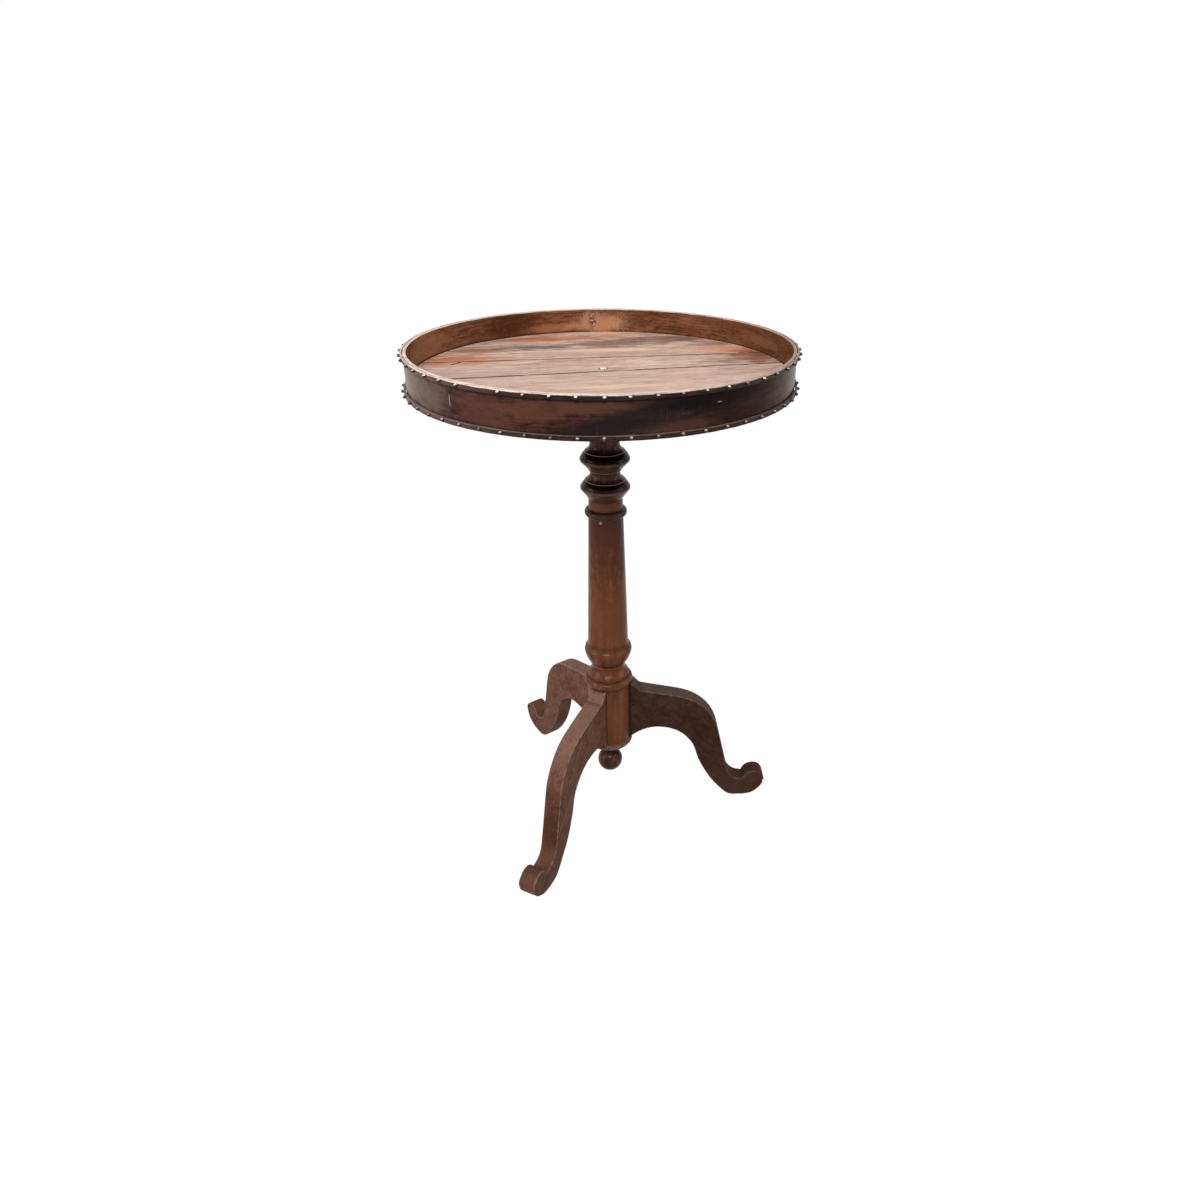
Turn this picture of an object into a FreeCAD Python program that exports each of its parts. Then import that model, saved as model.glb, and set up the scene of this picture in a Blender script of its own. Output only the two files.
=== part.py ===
import FreeCAD, Part
import math
import os
import Sketcher

# A gueridon: a round tray with a nailed hoop on a turned column with three scroll legs.
# The origin is on the column's axis at the floor, +Z is up and the right leg lies close to +X.

# The driving sizes in millimetres, or degrees and counts where the note says so.
SIZES = (
    ("table_height", 720, "floor to the top of the tray's hoop"),
    ("hoop_radius", 242.4, "outside of the hoop"),
    ("hoop_height", 48.5, "height of the hoop"),
    ("hoop_wall", 4.4, "thickness of the hoop"),
    ("band_thickness", 2.9, "thickness of the two bands round the hoop"),
    ("band_height", 6, "height of each band"),
    ("nail_head_radius", 2.4, "round-headed nails of the bands"),
    ("nail_head_height", 3.3, "height of a nail's head"),
    ("floor_thickness", 15.5, "thickness of the tray's boards"),
    ("floor_clearance", 0.2, "between the boards and the hoop"),
    ("seam_gap", 0.5, "gap between two boards"),
    ("back_seam_offset", 64, "back seam behind the centre"),
    ("back_seam_turn", 6.7, "degrees that the back seam turns from left-right"),
    ("front_seam_offset", 12.3, "front seam in front of the centre"),
    ("front_seam_turn", 10.5, "degrees that the front seam turns from left-right"),
    ("bearer_length", 390, "bearer under the boards, front to back"),
    ("bearer_width", 90, "width of the bearer"),
    ("bearer_thickness", 14, "thickness of the bearer"),
    ("bearer_bevel", 5, "bevel along the bearer's lower edges"),
    ("screw_head_radius", 4.2, "countersunk screws of the bearer"),
    ("screw_head_height", 2.8, "height of the countersunk head"),
    ("screw_shank_radius", 2, "shank of the same screws"),
    ("screw_length", 24, "whole length of a screw"),
    ("screw_spacing", 56, "between the two screws of a pair"),
    ("screw_end_offset", 150, "end pairs from the centre"),
    ("screw_middle_offset", 24, "middle pair behind the centre"),
    ("centre_head_radius", 4.4, "nail in the middle of the tray"),
    ("centre_head_height", 2.6, "height of its head"),
    ("centre_shank_radius", 1.8, "its shank"),
    ("centre_shank_length", 34, "length of its shank"),
    ("capital_height", 172, "capital from its joint to the top of its plate"),
    ("bulb_radius", 33.8, "the capital's two bulbs"),
    ("plate_radius", 38, "the capital's top plate"),
    ("tenon_radius", 14, "tenon on top of the capital"),
    ("spigot_radius", 11, "spigot under the capital"),
    ("spigot_length", 28, "length of the spigot"),
    ("socket_depth_spare", 0.8, "sockets are deeper than what they take"),
    ("fit_clearance", 0.1, "between a tenon, spigot, shank or tongue and its hole"),
    ("pin_head_radius", 2.4, "nail that pins the spigot"),
    ("pin_head_height", 1.2, "height of its head"),
    ("pin_shank_radius", 1.2, "its shank"),
    ("pin_shank_length", 20, "length of its shank"),
    ("pin_below_joint", 3.7, "pin below the capital's joint"),
    ("pin_turn", 253, "degrees round the column from +X"),
    ("shaft_top_radius", 24, "top of the tapered shaft"),
    ("shaft_foot_radius", 29.2, "foot of the tapered shaft"),
    ("cup_height", 59.5, "turned cup and waist between ring and shaft"),
    ("cup_radius", 34.4, "widest part of the cup"),
    ("ring_height", 12.5, "half-round ring over the legs"),
    ("ring_radius", 35.4, "outside of that ring"),
    ("base_radius", 31.7, "cylinder that carries the legs"),
    ("base_height", 99.5, "height of that cylinder"),
    ("disc_radius", 34.6, "disc that closes the leg slots"),
    ("disc_edge", 2, "depth of the disc's rounded edge"),
    ("disc_thickness", 7, "thickness of the disc"),
    ("disc_height", 109.5, "floor to the disc"),
    ("ball_radius", 18.7, "ball of the finial"),
    ("ball_centre_height", 69.5, "floor to the middle of the ball"),
    ("finial_tenon_radius", 9, "tenon of the finial"),
    ("finial_tenon_length", 34, "length of that tenon"),
    ("leg_reach", 243.5, "column axis to the tip of a leg"),
    ("right_leg_turn", 359, "degrees from +X to the right leg"),
    ("back_leg_turn", 124, "degrees from +X to the back left leg"),
    ("front_leg_turn", 241.4, "degrees from +X to the front left leg"),
    ("leg_thickness", 25, "thickness of a leg"),
    ("leg_arris", 2.2, "chamfer along a leg's upper edges"),
    ("shoulder_round", 80, "round of the leg's shoulder"),
    ("instep_round", 27, "round above the foot"),
    ("tongue_depth", 12, "dovetail tongue of a leg"),
    ("tongue_neck", 11, "width of the tongue at the leg"),
    ("tongue_back", 17, "width of the tongue at its back"),
    ("cut_overrun", 5, "how far a cutting solid runs past what it cuts"),
)
BAND_NAIL_COUNT = 56
LOST_UPPER_NAILS = (51,)
SCREW_SIDES = (-1, 1)

# Turned profiles as shares: of the radius and the height that each table's user names.
# A third item "by" marks a point that the arc between its neighbours runs through.
COLLAR_AND_BULB_SHARES = (
    (0.710, 0.000), (0.858, 0.030, "by"), (0.701, 0.064),
    (0.689, 0.134), (0.683, 0.150),
    (0.953, 0.225), (1.000, 0.242, "by"), (0.959, 0.257), (0.888, 0.281, "by"), (0.793, 0.300),
    (0.763, 0.308), (0.648, 0.331, "by"), (0.601, 0.361),
    (0.601, 0.375), (0.669, 0.386), (0.678, 0.395),
    (0.947, 0.455), (1.000, 0.475, "by"), (0.964, 0.491), (0.896, 0.515, "by"), (0.793, 0.535),
    (0.763, 0.543), (0.645, 0.566, "by"), (0.595, 0.596),
    (0.595, 0.619), (0.622, 0.770, "by"), (0.800, 0.898),
    (0.873, 0.905), (1.035, 0.933, "by"), (1.080, 0.965),
)
CUP_SHARES = (
    (0.872, 0.013), (0.872, 0.030), (0.862, 0.084, "by"), (0.791, 0.143),
    (0.715, 0.210, "by"), (0.683, 0.294),
    (0.683, 0.336), (0.733, 0.353), (0.738, 0.387),
    (0.744, 0.392), (0.910, 0.555, "by"), (1.000, 0.723), (0.985, 0.807, "by"), (0.924, 0.866),
    (0.890, 0.879), (0.860, 0.916, "by"),
)
# The finial's neck leaves the ball on the ball's surface, so that point's shares are of its radius.
FINIAL_NECK_START = (0.529, 0.8486)
FINIAL_NECK_SHARES = ((0.450, 0.560, "by"), (0.640, 0.780), (0.740, 0.800))

# The leg's side outline as shares of its reach and of the height of its root.
LEG_SHARES = {
    "root_edge": (0.1430, 1.0000), "root_corner": (0.1860, 0.9440), "shoulder": (0.6337, 0.8378),
    "instep": (0.7688, 0.1593), "notch": (0.8583, 0.1417), "roll_top": (0.9289, 0.2102),
    "roll_end": (1.0000, 0.1306), "toe_bend": (0.9690, 0.0590), "sole_toe": (0.8720, 0.0000),
    "sole_heel": (0.8100, 0.0000), "heel_bend": (0.7694, 0.0116), "heel": (0.7355, 0.0398),
    "shin_bend": (0.6170, 0.2134), "arch_end": (0.5438, 0.4157), "arch_top": (0.3140, 0.6273),
}
FULL_TURN = 360
UP = FreeCAD.Vector(0, 0, 1)

doc = FreeCAD.newDocument("gueridon")
sheet = doc.addObject("Spreadsheet::Sheet", "Sizes")
for row, (alias, size, note) in enumerate(SIZES, start=1):
    sheet.set(f"A{row}", alias)
    sheet.set(f"B{row}", str(size))
    sheet.set(f"C{row}", note)
    sheet.setAlias(f"B{row}", alias)
doc.recompute()


class Length:
    """A length that knows its value and the formula that ties it to the sheet."""

    def __init__(self, value, formula):
        self.value = value
        self.formula = formula

    def __add__(self, other):
        return Length(self.value + other.value, f"({self.formula} + {other.formula})")

    def __sub__(self, other):
        return Length(self.value - other.value, f"({self.formula} - {other.formula})")

    def __mul__(self, share):
        return Length(self.value * share, f"({self.formula} * {share})")

    __rmul__ = __mul__

    def __neg__(self):
        return Length(-self.value, f"(-{self.formula})")


class Sizes:
    """Gives each size of the sheet as a Length: sizes.hoop_wall and so on."""

    def __getattr__(self, alias):
        return Length(float(sheet.get(alias)), f"Sizes.{alias}")


sizes = Sizes()
ZERO = Length(0.0, "0")

# Levels above the floor and radii that several pieces share.
hoop_bottom = sizes.table_height - sizes.hoop_height
floor_top = hoop_bottom + sizes.floor_thickness
plate_top = hoop_bottom - sizes.bearer_thickness
capital_joint = plate_top - sizes.capital_height
disc_top = sizes.disc_height + sizes.disc_thickness
ring_bottom = disc_top + sizes.base_height
ring_top = ring_bottom + sizes.ring_height
shaft_foot = ring_top + sizes.cup_height
# The slots were cut by eye, so the legs don't stand quite evenly round the column.
leg_turns = {"leg_right": sizes.right_leg_turn, "leg_back_left": sizes.back_leg_turn,
             "leg_front_left": sizes.front_leg_turn}
hoop_inner_radius = sizes.hoop_radius - sizes.hoop_wall
band_radius = sizes.hoop_radius + sizes.band_thickness
socket_radius = sizes.spigot_radius + sizes.fit_clearance
finial_socket_radius = sizes.finial_tenon_radius + sizes.fit_clearance
half_leg = 0.5 * sizes.leg_thickness
# A leg's root is flat and meets a flat on the cylinder that is just as wide as the leg.
seat_value = math.sqrt(sizes.base_radius.value ** 2 - half_leg.value ** 2)
leg_seat = Length(seat_value, f"sqrt({sizes.base_radius.formula} ^ 2 - {half_leg.formula} ^ 2)")


def bind(obj, path, length):
    """Ties one property of an object to the sheet."""
    obj.setExpression(path, length.formula)


def at_height(obj, height):
    """Lifts an object to a level above the floor."""
    obj.Placement.Base.z = height.value
    bind(obj, "Placement.Base.z", height)


def turn_about_column(obj, placement_name, turn):
    """Turns an object, or the plane of a sketch, about the column's axis."""
    placement = getattr(obj, placement_name)
    placement.Rotation = FreeCAD.Rotation(UP, turn.value)
    setattr(obj, placement_name, placement)
    bind(obj, f"{placement_name}.Rotation.Angle", turn)


def shared_points(shares, radius, start, height):
    """Turns a table of shares into points: of a radius, and of a height above a start."""
    return [(share[0] * radius, start + share[1] * height) + share[2:] for share in shares]


def origin_plane(body, role):
    return next(item for item in body.Origin.OriginFeatures if item.Role == role)


def new_sketch(body, name, role):
    sketch = body.newObject("Sketcher::SketchObject", name)
    sketch.AttachmentSupport = [(origin_plane(body, role), "")]
    sketch.MapMode = "FlatFace"
    return sketch


def as_vector(point):
    return FreeCAD.Vector(point[0].value, point[1].value, 0)


def pin(sketch, geometry, position, point):
    """Pins one point of a sketch to two lengths measured from the sketch's origin."""
    for kind, axis, length in (("DistanceX", -2, point[0]), ("DistanceY", -1, point[1])):
        if length.formula == ZERO.formula:
            sketch.addConstraint(Sketcher.Constraint("PointOnObject", geometry, position, axis))
            continue
        ends = (-1, 1, geometry, position) if length.value >= 0 else (geometry, position, -1, 1)
        number = sketch.addConstraint(Sketcher.Constraint(kind, *ends, abs(length.value)))
        sketch.setExpression(f"Constraints[{number}]", (length if length.value >= 0 else -length).formula)


def add_arc(sketch, start, through, end):
    """Adds an arc and gives its number and the positions of its start and end in the sketch."""
    left_turn = (through - start).cross(end - through).z > 0
    ends = (start, end) if left_turn else (end, start)
    number = sketch.addGeometry(Part.Arc(ends[0], through, ends[1]))
    return (number, 1, 2) if left_turn else (number, 2, 1)


def corner_arc(before, corner, after, radius):
    """The start, middle and end of an arc that rounds a corner between two straight lines."""
    back = (before - corner).normalize()
    ahead = (after - corner).normalize()
    half_angle = 0.5 * back.getAngle(ahead)
    reach = radius / math.tan(half_angle)
    inward = (back + ahead).normalize()
    middle = corner + inward * (radius / math.sin(half_angle) - radius)
    return corner + back * reach, middle, corner + ahead * reach


def draw_outline(sketch, points):
    """Draws a closed outline and ties it to the sheet.

    A point is (x, y). With a Length as third item it is a corner rounded by that radius, and
    with "by" it lies on the arc between the points before and after it.
    """
    corners = [point for point in points if len(point) == 2 or point[2] != "by"]
    through = {}
    for place, point in enumerate(points):
        if len(point) == 3 and point[2] == "by":
            through[id(points[place - 1])] = point
    rounds = {}
    for place, corner in enumerate(corners):
        if len(corner) == 3:
            before, after = corners[place - 1], corners[(place + 1) % len(corners)]
            rounds[place] = corner_arc(as_vector(before), as_vector(corner), as_vector(after),
                                       corner[2].value)
    pieces = []
    for place, corner in enumerate(corners):
        following = (place + 1) % len(corners)
        start = rounds[place][2] if place in rounds else as_vector(corner)
        end = rounds[following][0] if following in rounds else as_vector(corners[following])
        if id(corner) in through:
            bend = through[id(corner)]
            pieces.append(add_arc(sketch, start, as_vector(bend), end))
            helper = sketch.addGeometry(Part.Point(as_vector(bend)), True)
            sketch.addConstraint(Sketcher.Constraint("PointOnObject", helper, 1, pieces[-1][0]))
            pin(sketch, helper, 1, bend)
        else:
            pieces.append((sketch.addGeometry(Part.LineSegment(start, end)), 1, 2))
    for place, corner in enumerate(corners):
        before, after = pieces[place - 1], pieces[place]
        if place not in rounds:
            sketch.addConstraint(
                Sketcher.Constraint("Coincident", before[0], before[2], after[0], after[1]))
            pin(sketch, after[0], after[1], corner)
            continue
        arc = add_arc(sketch, *rounds[place])
        sketch.addConstraint(Sketcher.Constraint("Tangent", before[0], before[2], arc[0], arc[1]))
        sketch.addConstraint(Sketcher.Constraint("Tangent", arc[0], arc[2], after[0], after[1]))
        number = sketch.addConstraint(Sketcher.Constraint("Radius", arc[0], corner[2].value))
        sketch.setExpression(f"Constraints[{number}]", corner[2].formula)
        helper = sketch.addGeometry(Part.Point(as_vector(corner)), True)
        for line in (before, after):
            sketch.addConstraint(Sketcher.Constraint("PointOnObject", helper, 1, line[0]))
        pin(sketch, helper, 1, corner)


def turned_body(label, points):
    """A body turned about Z from an outline of (radius, height) points."""
    body = doc.addObject("PartDesign::Body", label)
    sketch = new_sketch(body, f"{label}_profile", "XZ_Plane")
    draw_outline(sketch, points)
    turning = body.newObject("PartDesign::Revolution", f"{label}_turning")
    turning.Profile = sketch
    turning.ReferenceAxis = (sketch, ["V_Axis"])
    turning.Angle = FULL_TURN
    sketch.Visibility = False
    return body


def cylinder(name, radius, height, level):
    """A plain cylinder on the column's axis."""
    solid = doc.addObject("Part::Cylinder", name)
    bind(solid, "Radius", radius)
    bind(solid, "Height", height)
    at_height(solid, level)
    return solid


def join(kind, label, base, tools):
    """A Part boolean of a base and one or more tools."""
    result = doc.addObject(kind, label)
    if kind == "Part::Cut":
        result.Base = base
        result.Tool = tools[0]
    else:
        result.Shapes = [base] + list(tools)
    return result


def cut_all(label, base, tools):
    """Cuts every tool out of the base, and gives the last cut the label."""
    for number, tool in enumerate(tools, start=1):
        name = label if number == len(tools) else f"{label}_cut_{number}"
        base = join("Part::Cut", name, base, [tool])
    return base


def check_volume(label, before, after):
    """Stops the build if a cut took nothing away."""
    if after >= before:
        raise ValueError(f"{label}: the cut removed nothing")


def make_hoop():
    """The tray's hoop: a bent board, open above and below."""
    inner, outer = hoop_inner_radius, sizes.hoop_radius
    return turned_body("tray_hoop", [
        (inner, hoop_bottom), (outer, hoop_bottom), (outer, sizes.table_height),
        (inner, sizes.table_height)])


def make_band(label, bottom):
    """A thin lath round the outside of the hoop, flush with one of its edges."""
    top = bottom + sizes.band_height
    return turned_body(label, [
        (sizes.hoop_radius, bottom), (band_radius, bottom), (band_radius, top),
        (sizes.hoop_radius, top)])


def nail_head(radius, height):
    """A forged head with eight facets round and two steps up, with its flat back at x = 0."""
    facets = 8
    rings = []
    for radius_share, height_share in ((1.0, 0.0), (0.8, 0.6), (0.35, 1.0)):
        corners = []
        for number in range(facets + 1):
            angle = 2 * math.pi * number / facets
            corners.append(FreeCAD.Vector(height * height_share,
                                          radius * radius_share * math.cos(angle),
                                          radius * radius_share * math.sin(angle)))
        rings.append(Part.makePolygon(corners))
    return Part.makeLoft(rings, True, True)


def make_band_nails(label, level, lost):
    """The row of nails along one band: one head every few degrees, with its back on the band."""
    head = nail_head(sizes.nail_head_radius.value, sizes.nail_head_height.value)
    heads = []
    for number in range(BAND_NAIL_COUNT):
        if number in lost:
            continue
        placed = head.copy()
        placed.Placement = FreeCAD.Placement(
            FreeCAD.Vector(band_radius.value, 0, level.value), FreeCAD.Rotation())
        placed.rotate(FreeCAD.Vector(), UP, FULL_TURN * (number / BAND_NAIL_COUNT - 0.25))
        heads.append(placed)
    nails = doc.addObject("Part::Feature", label)
    nails.Shape = Part.makeCompound(heads)
    return nails


def seam_side(name, offset, turn, side, grow):
    """A box that covers the tray on one side of a seam: side 1 is behind it, -1 in front."""
    width = 4 * sizes.hoop_radius
    depth = 2 * sizes.hoop_radius
    box = doc.addObject("Part::Box", name)
    bind(box, "Length", width)
    bind(box, "Width", depth)
    bind(box, "Height", sizes.floor_thickness + 2 * sizes.cut_overrun)
    angle = math.radians(turn.value)
    near = side * (offset + grow) if side > 0 else side * (offset + depth - grow)
    left = -0.5 * width
    # The box turns about the tray's centre, so its corner is worked out from that turn.
    across, along = f"cos({turn.formula} * 1 deg)", f"sin({turn.formula} * 1 deg)"
    corner_x = Length(left.value * math.cos(angle) - near.value * math.sin(angle),
                      f"({left.formula} * {across} - {near.formula} * {along})")
    corner_y = Length(left.value * math.sin(angle) + near.value * math.cos(angle),
                      f"({left.formula} * {along} + {near.formula} * {across})")
    box.Placement = FreeCAD.Placement(FreeCAD.Vector(), FreeCAD.Rotation(UP, turn.value))
    bind(box, "Placement.Base.x", corner_x)
    bind(box, "Placement.Base.y", corner_y)
    bind(box, "Placement.Rotation.Angle", turn)
    at_height(box, hoop_bottom - sizes.cut_overrun)
    return box


def screw_places():
    """The middle of each bearer screw, as (x, y) lengths."""
    rows = (-sizes.screw_end_offset, sizes.screw_middle_offset, sizes.screw_end_offset)
    return [(0.5 * side * sizes.screw_spacing, row) for row in rows for side in SCREW_SIDES]


def screw_solids(name, grow):
    """The bearer's screws as one group, grown by a clearance when they cut their own holes."""
    screws = []
    for number, (across, along) in enumerate(screw_places(), start=1):
        head = doc.addObject("Part::Cone", f"{name}_head_{number}")
        bind(head, "Radius1", sizes.screw_head_radius + grow)
        bind(head, "Radius2", sizes.screw_shank_radius + grow)
        bind(head, "Height", sizes.screw_head_height)
        at_height(head, plate_top)
        shank = cylinder(f"{name}_shank_{number}", sizes.screw_shank_radius + grow,
                         sizes.screw_length - sizes.screw_head_height + grow,
                         plate_top + sizes.screw_head_height)
        for solid in (head, shank):
            bind(solid, "Placement.Base.x", across)
            bind(solid, "Placement.Base.y", along)
        screws.append(join("Part::MultiFuse", f"{name}_{number}", head, [shank]))
    group = doc.addObject("Part::Compound", name)
    group.Links = screws
    return group


def make_tray_floor(screw_holes):
    """Three boards whose seams aren't quite parallel, nailed up by the lower band's nails."""
    radius = hoop_inner_radius - sizes.floor_clearance
    half_gap = 0.5 * sizes.seam_gap
    nail_hole = cylinder("centre_nail_hole", sizes.centre_shank_radius + sizes.fit_clearance,
                         sizes.floor_thickness + 2 * sizes.cut_overrun,
                         hoop_bottom - sizes.cut_overrun)
    back = (sizes.back_seam_offset, sizes.back_seam_turn, 1)
    front = (sizes.front_seam_offset, sizes.front_seam_turn, -1)
    boards = []
    for label, seam in (("floor_board_back", back), ("floor_board_front", front)):
        disc = cylinder(f"{label}_disc", radius, sizes.floor_thickness, hoop_bottom)
        side = seam_side(f"{label}_side", *seam, half_gap)
        board = join("Part::MultiCommon", f"{label}_blank", disc, [side])
        boards.append(cut_all(label, board, [screw_holes]))
    disc = cylinder("floor_board_middle_disc", radius, sizes.floor_thickness, hoop_bottom)
    behind = seam_side("floor_board_middle_back", *back, -half_gap)
    before = seam_side("floor_board_middle_front", *front, -half_gap)
    boards.append(cut_all("floor_board_middle", disc, [behind, before, nail_hole, screw_holes]))
    return boards


def make_centre_nail():
    """The nail that holds the tray down on the capital's tenon."""
    head_radius, shank_radius = sizes.centre_head_radius, sizes.centre_shank_radius
    return turned_body("centre_nail", [
        (ZERO, floor_top - sizes.centre_shank_length),
        (shank_radius, floor_top - sizes.centre_shank_length + shank_radius),
        (shank_radius, floor_top), (head_radius, floor_top),
        (0.8 * head_radius, floor_top + 0.7 * sizes.centre_head_height, "by"),
        (0.25 * head_radius, floor_top + sizes.centre_head_height),
        (ZERO, floor_top + sizes.centre_head_height)])


def make_bearer(screw_holes):
    """The bearer: a board across the seams with bevelled lower edges and the tenon's hole."""
    body = doc.addObject("PartDesign::Body", "tray_bearer_board")
    half_width = 0.5 * sizes.bearer_width
    half_length = 0.5 * sizes.bearer_length
    sketch = new_sketch(body, "tray_bearer_plan", "XY_Plane")
    draw_outline(sketch, [(half_width, half_length), (-half_width, half_length),
                          (-half_width, -half_length), (half_width, -half_length)])
    pad = body.newObject("PartDesign::Pad", "tray_bearer_pad")
    pad.Profile = sketch
    bind(pad, "Length", sizes.bearer_thickness)
    doc.recompute()
    bevel = body.newObject("PartDesign::Chamfer", "tray_bearer_bevel")
    lower = [f"Edge{number}" for number, edge in enumerate(pad.Shape.Edges, start=1)
             if abs(edge.BoundBox.ZMax) < sizes.fit_clearance.value]
    bevel.Base = (pad, lower)
    bind(bevel, "Size", sizes.bearer_bevel)
    at_height(body, plate_top)
    hole = cylinder("tenon_hole", sizes.tenon_radius + sizes.fit_clearance,
                    sizes.bearer_thickness + 2 * sizes.cut_overrun, plate_top - sizes.cut_overrun)
    return cut_all("tray_bearer", body, [hole, screw_holes])


# The shaft is a little wider at the pin than at its top, and the pin's head sits on its surface.
pin_seat = Length(
    sizes.shaft_top_radius.value + (sizes.shaft_foot_radius - sizes.shaft_top_radius).value
    * sizes.pin_below_joint.value / (capital_joint - shaft_foot).value,
    f"({sizes.shaft_top_radius.formula} + ({sizes.shaft_foot_radius.formula}"
    f" - {sizes.shaft_top_radius.formula}) * {sizes.pin_below_joint.formula}"
    f" / ({capital_joint.formula} - {shaft_foot.formula}))")
pin_level = capital_joint - sizes.pin_below_joint


def pin_shank(name, grow, overrun):
    """The pin's shank, lying along a radius of the column from inside the spigot to the head.

    As the solid that cuts its hole it's grown by a clearance and runs on past the surface.
    """
    shank = doc.addObject("Part::Cylinder", name)
    bind(shank, "Radius", sizes.pin_shank_radius + grow)
    bind(shank, "Height", sizes.pin_shank_length + grow + overrun)
    inner_end = pin_seat - sizes.pin_shank_length - grow
    turn = math.radians(sizes.pin_turn.value)
    outward = FreeCAD.Vector(math.cos(turn), math.sin(turn), 0)
    shank.Placement = FreeCAD.Placement(FreeCAD.Vector(), FreeCAD.Rotation(UP, outward))
    turn_text = f"{sizes.pin_turn.formula} * 1 deg"
    bind(shank, "Placement.Base.x", Length(0, f"({inner_end.formula} * cos({turn_text}))"))
    bind(shank, "Placement.Base.y", Length(0, f"({inner_end.formula} * sin({turn_text}))"))
    at_height(shank, pin_level)
    return shank


def make_pin():
    """The nail that pins the capital's spigot in the shaft."""
    head = nail_head(sizes.pin_head_radius.value, sizes.pin_head_height.value)
    head.translate(FreeCAD.Vector(pin_seat.value, 0, pin_level.value))
    head.rotate(FreeCAD.Vector(), UP, sizes.pin_turn.value)
    head_solid = doc.addObject("Part::Feature", "capital_pin_head")
    head_solid.Shape = head
    return join("Part::MultiFuse", "capital_pin", head_solid, [pin_shank("pin_shank", ZERO, ZERO)])


def make_capital(pin_hole):
    """The capital: spigot, collar, two bulbs, long neck, top plate and tenon, turned as one."""
    spigot, tenon = sizes.spigot_radius, sizes.tenon_radius
    spigot_end = capital_joint - sizes.spigot_length
    turned = shared_points(COLLAR_AND_BULB_SHARES, sizes.bulb_radius, capital_joint,
                           sizes.capital_height)
    plate_edge = turned[-1][1]
    tenon_top = plate_top + sizes.bearer_thickness
    body = turned_body("column_capital_turned", [
        (ZERO, spigot_end), (spigot, spigot_end), (spigot, capital_joint), *turned,
        (sizes.plate_radius, plate_edge), (sizes.plate_radius, plate_top),
        (tenon, plate_top), (tenon, tenon_top), (ZERO, tenon_top)])
    nail_hole = cylinder("tenon_nail_hole", sizes.centre_shank_radius + sizes.fit_clearance,
                         sizes.centre_shank_length + sizes.cut_overrun,
                         floor_top - sizes.centre_shank_length - sizes.fit_clearance)
    return cut_all("column_capital", body, [pin_hole, nail_hole])


def make_shaft(pin_hole):
    """The shaft: leg cylinder with three dovetail slots, ring, cup and tapered shaft."""
    ring_middle = ring_bottom + 0.5 * sizes.ring_height
    socket_bottom = capital_joint - sizes.spigot_length - sizes.socket_depth_spare
    finial_socket_top = disc_top + sizes.finial_tenon_length - sizes.disc_thickness
    finial_socket_top = finial_socket_top + sizes.socket_depth_spare
    cup = shared_points(CUP_SHARES, sizes.cup_radius, ring_top, sizes.cup_height)
    body = turned_body("column_shaft_turned", [
        (finial_socket_radius, disc_top), (sizes.base_radius, disc_top),
        (sizes.base_radius, ring_bottom), (sizes.ring_radius, ring_middle, "by"),
        (0.89 * sizes.cup_radius, ring_top), *cup,
        (sizes.shaft_foot_radius, shaft_foot), (sizes.shaft_top_radius, capital_joint),
        (socket_radius, capital_joint), (socket_radius, socket_bottom), (ZERO, socket_bottom),
        (ZERO, finial_socket_top), (finial_socket_radius, finial_socket_top)])
    doc.recompute()
    clearance = sizes.fit_clearance
    back = leg_seat - sizes.tongue_depth - clearance
    half_back = 0.5 * sizes.tongue_back + clearance
    half_neck = 0.5 * sizes.tongue_neck + clearance
    outside = sizes.ring_radius + sizes.cut_overrun
    for label, turn in leg_turns.items():
        before = body.Shape.Volume
        sketch = new_sketch(body, f"{label}_slot_plan", "XY_Plane")
        bind(sketch, "AttachmentOffset.Base.z", disc_top)
        turn_about_column(sketch, "AttachmentOffset", turn)
        draw_outline(sketch, [
            (back, half_back), (back, -half_back), (leg_seat, -half_neck), (leg_seat, -half_leg),
            (outside, -half_leg), (outside, half_leg), (leg_seat, half_leg), (leg_seat, half_neck)])
        slot = body.newObject("PartDesign::Pocket", f"{label}_slot")
        slot.Profile = sketch
        slot.Reversed = True
        bind(slot, "Length", sizes.base_height)
        sketch.Visibility = False
        doc.recompute()
        check_volume(f"{label}_slot", before, body.Shape.Volume)
    return cut_all("column_shaft", body, [pin_hole])


def make_disc():
    """The disc under the column: it closes the slots and keeps the legs from sliding out."""
    inner = finial_socket_radius
    flat = sizes.disc_radius - sizes.disc_edge
    middle = sizes.disc_height + 0.5 * sizes.disc_thickness
    return turned_body("base_disc", [
        (inner, sizes.disc_height), (flat, sizes.disc_height), (sizes.disc_radius, middle, "by"),
        (flat, disc_top), (inner, disc_top)])


def make_finial():
    """The ball finial with its hollow neck and the tenon that holds the disc up."""
    centre, radius = sizes.ball_centre_height, sizes.ball_radius
    neck_height = sizes.disc_height - centre
    neck = shared_points(FINIAL_NECK_SHARES, radius, centre, neck_height)
    start = (FINIAL_NECK_START[0] * radius, centre + FINIAL_NECK_START[1] * radius)
    tenon, tenon_top = sizes.finial_tenon_radius, sizes.disc_height + sizes.finial_tenon_length
    return turned_body("finial", [
        (ZERO, centre - radius), (radius, centre, "by"), start, *neck,
        (neck[-1][0], sizes.disc_height), (tenon, sizes.disc_height), (tenon, tenon_top),
        (ZERO, tenon_top)])


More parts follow.
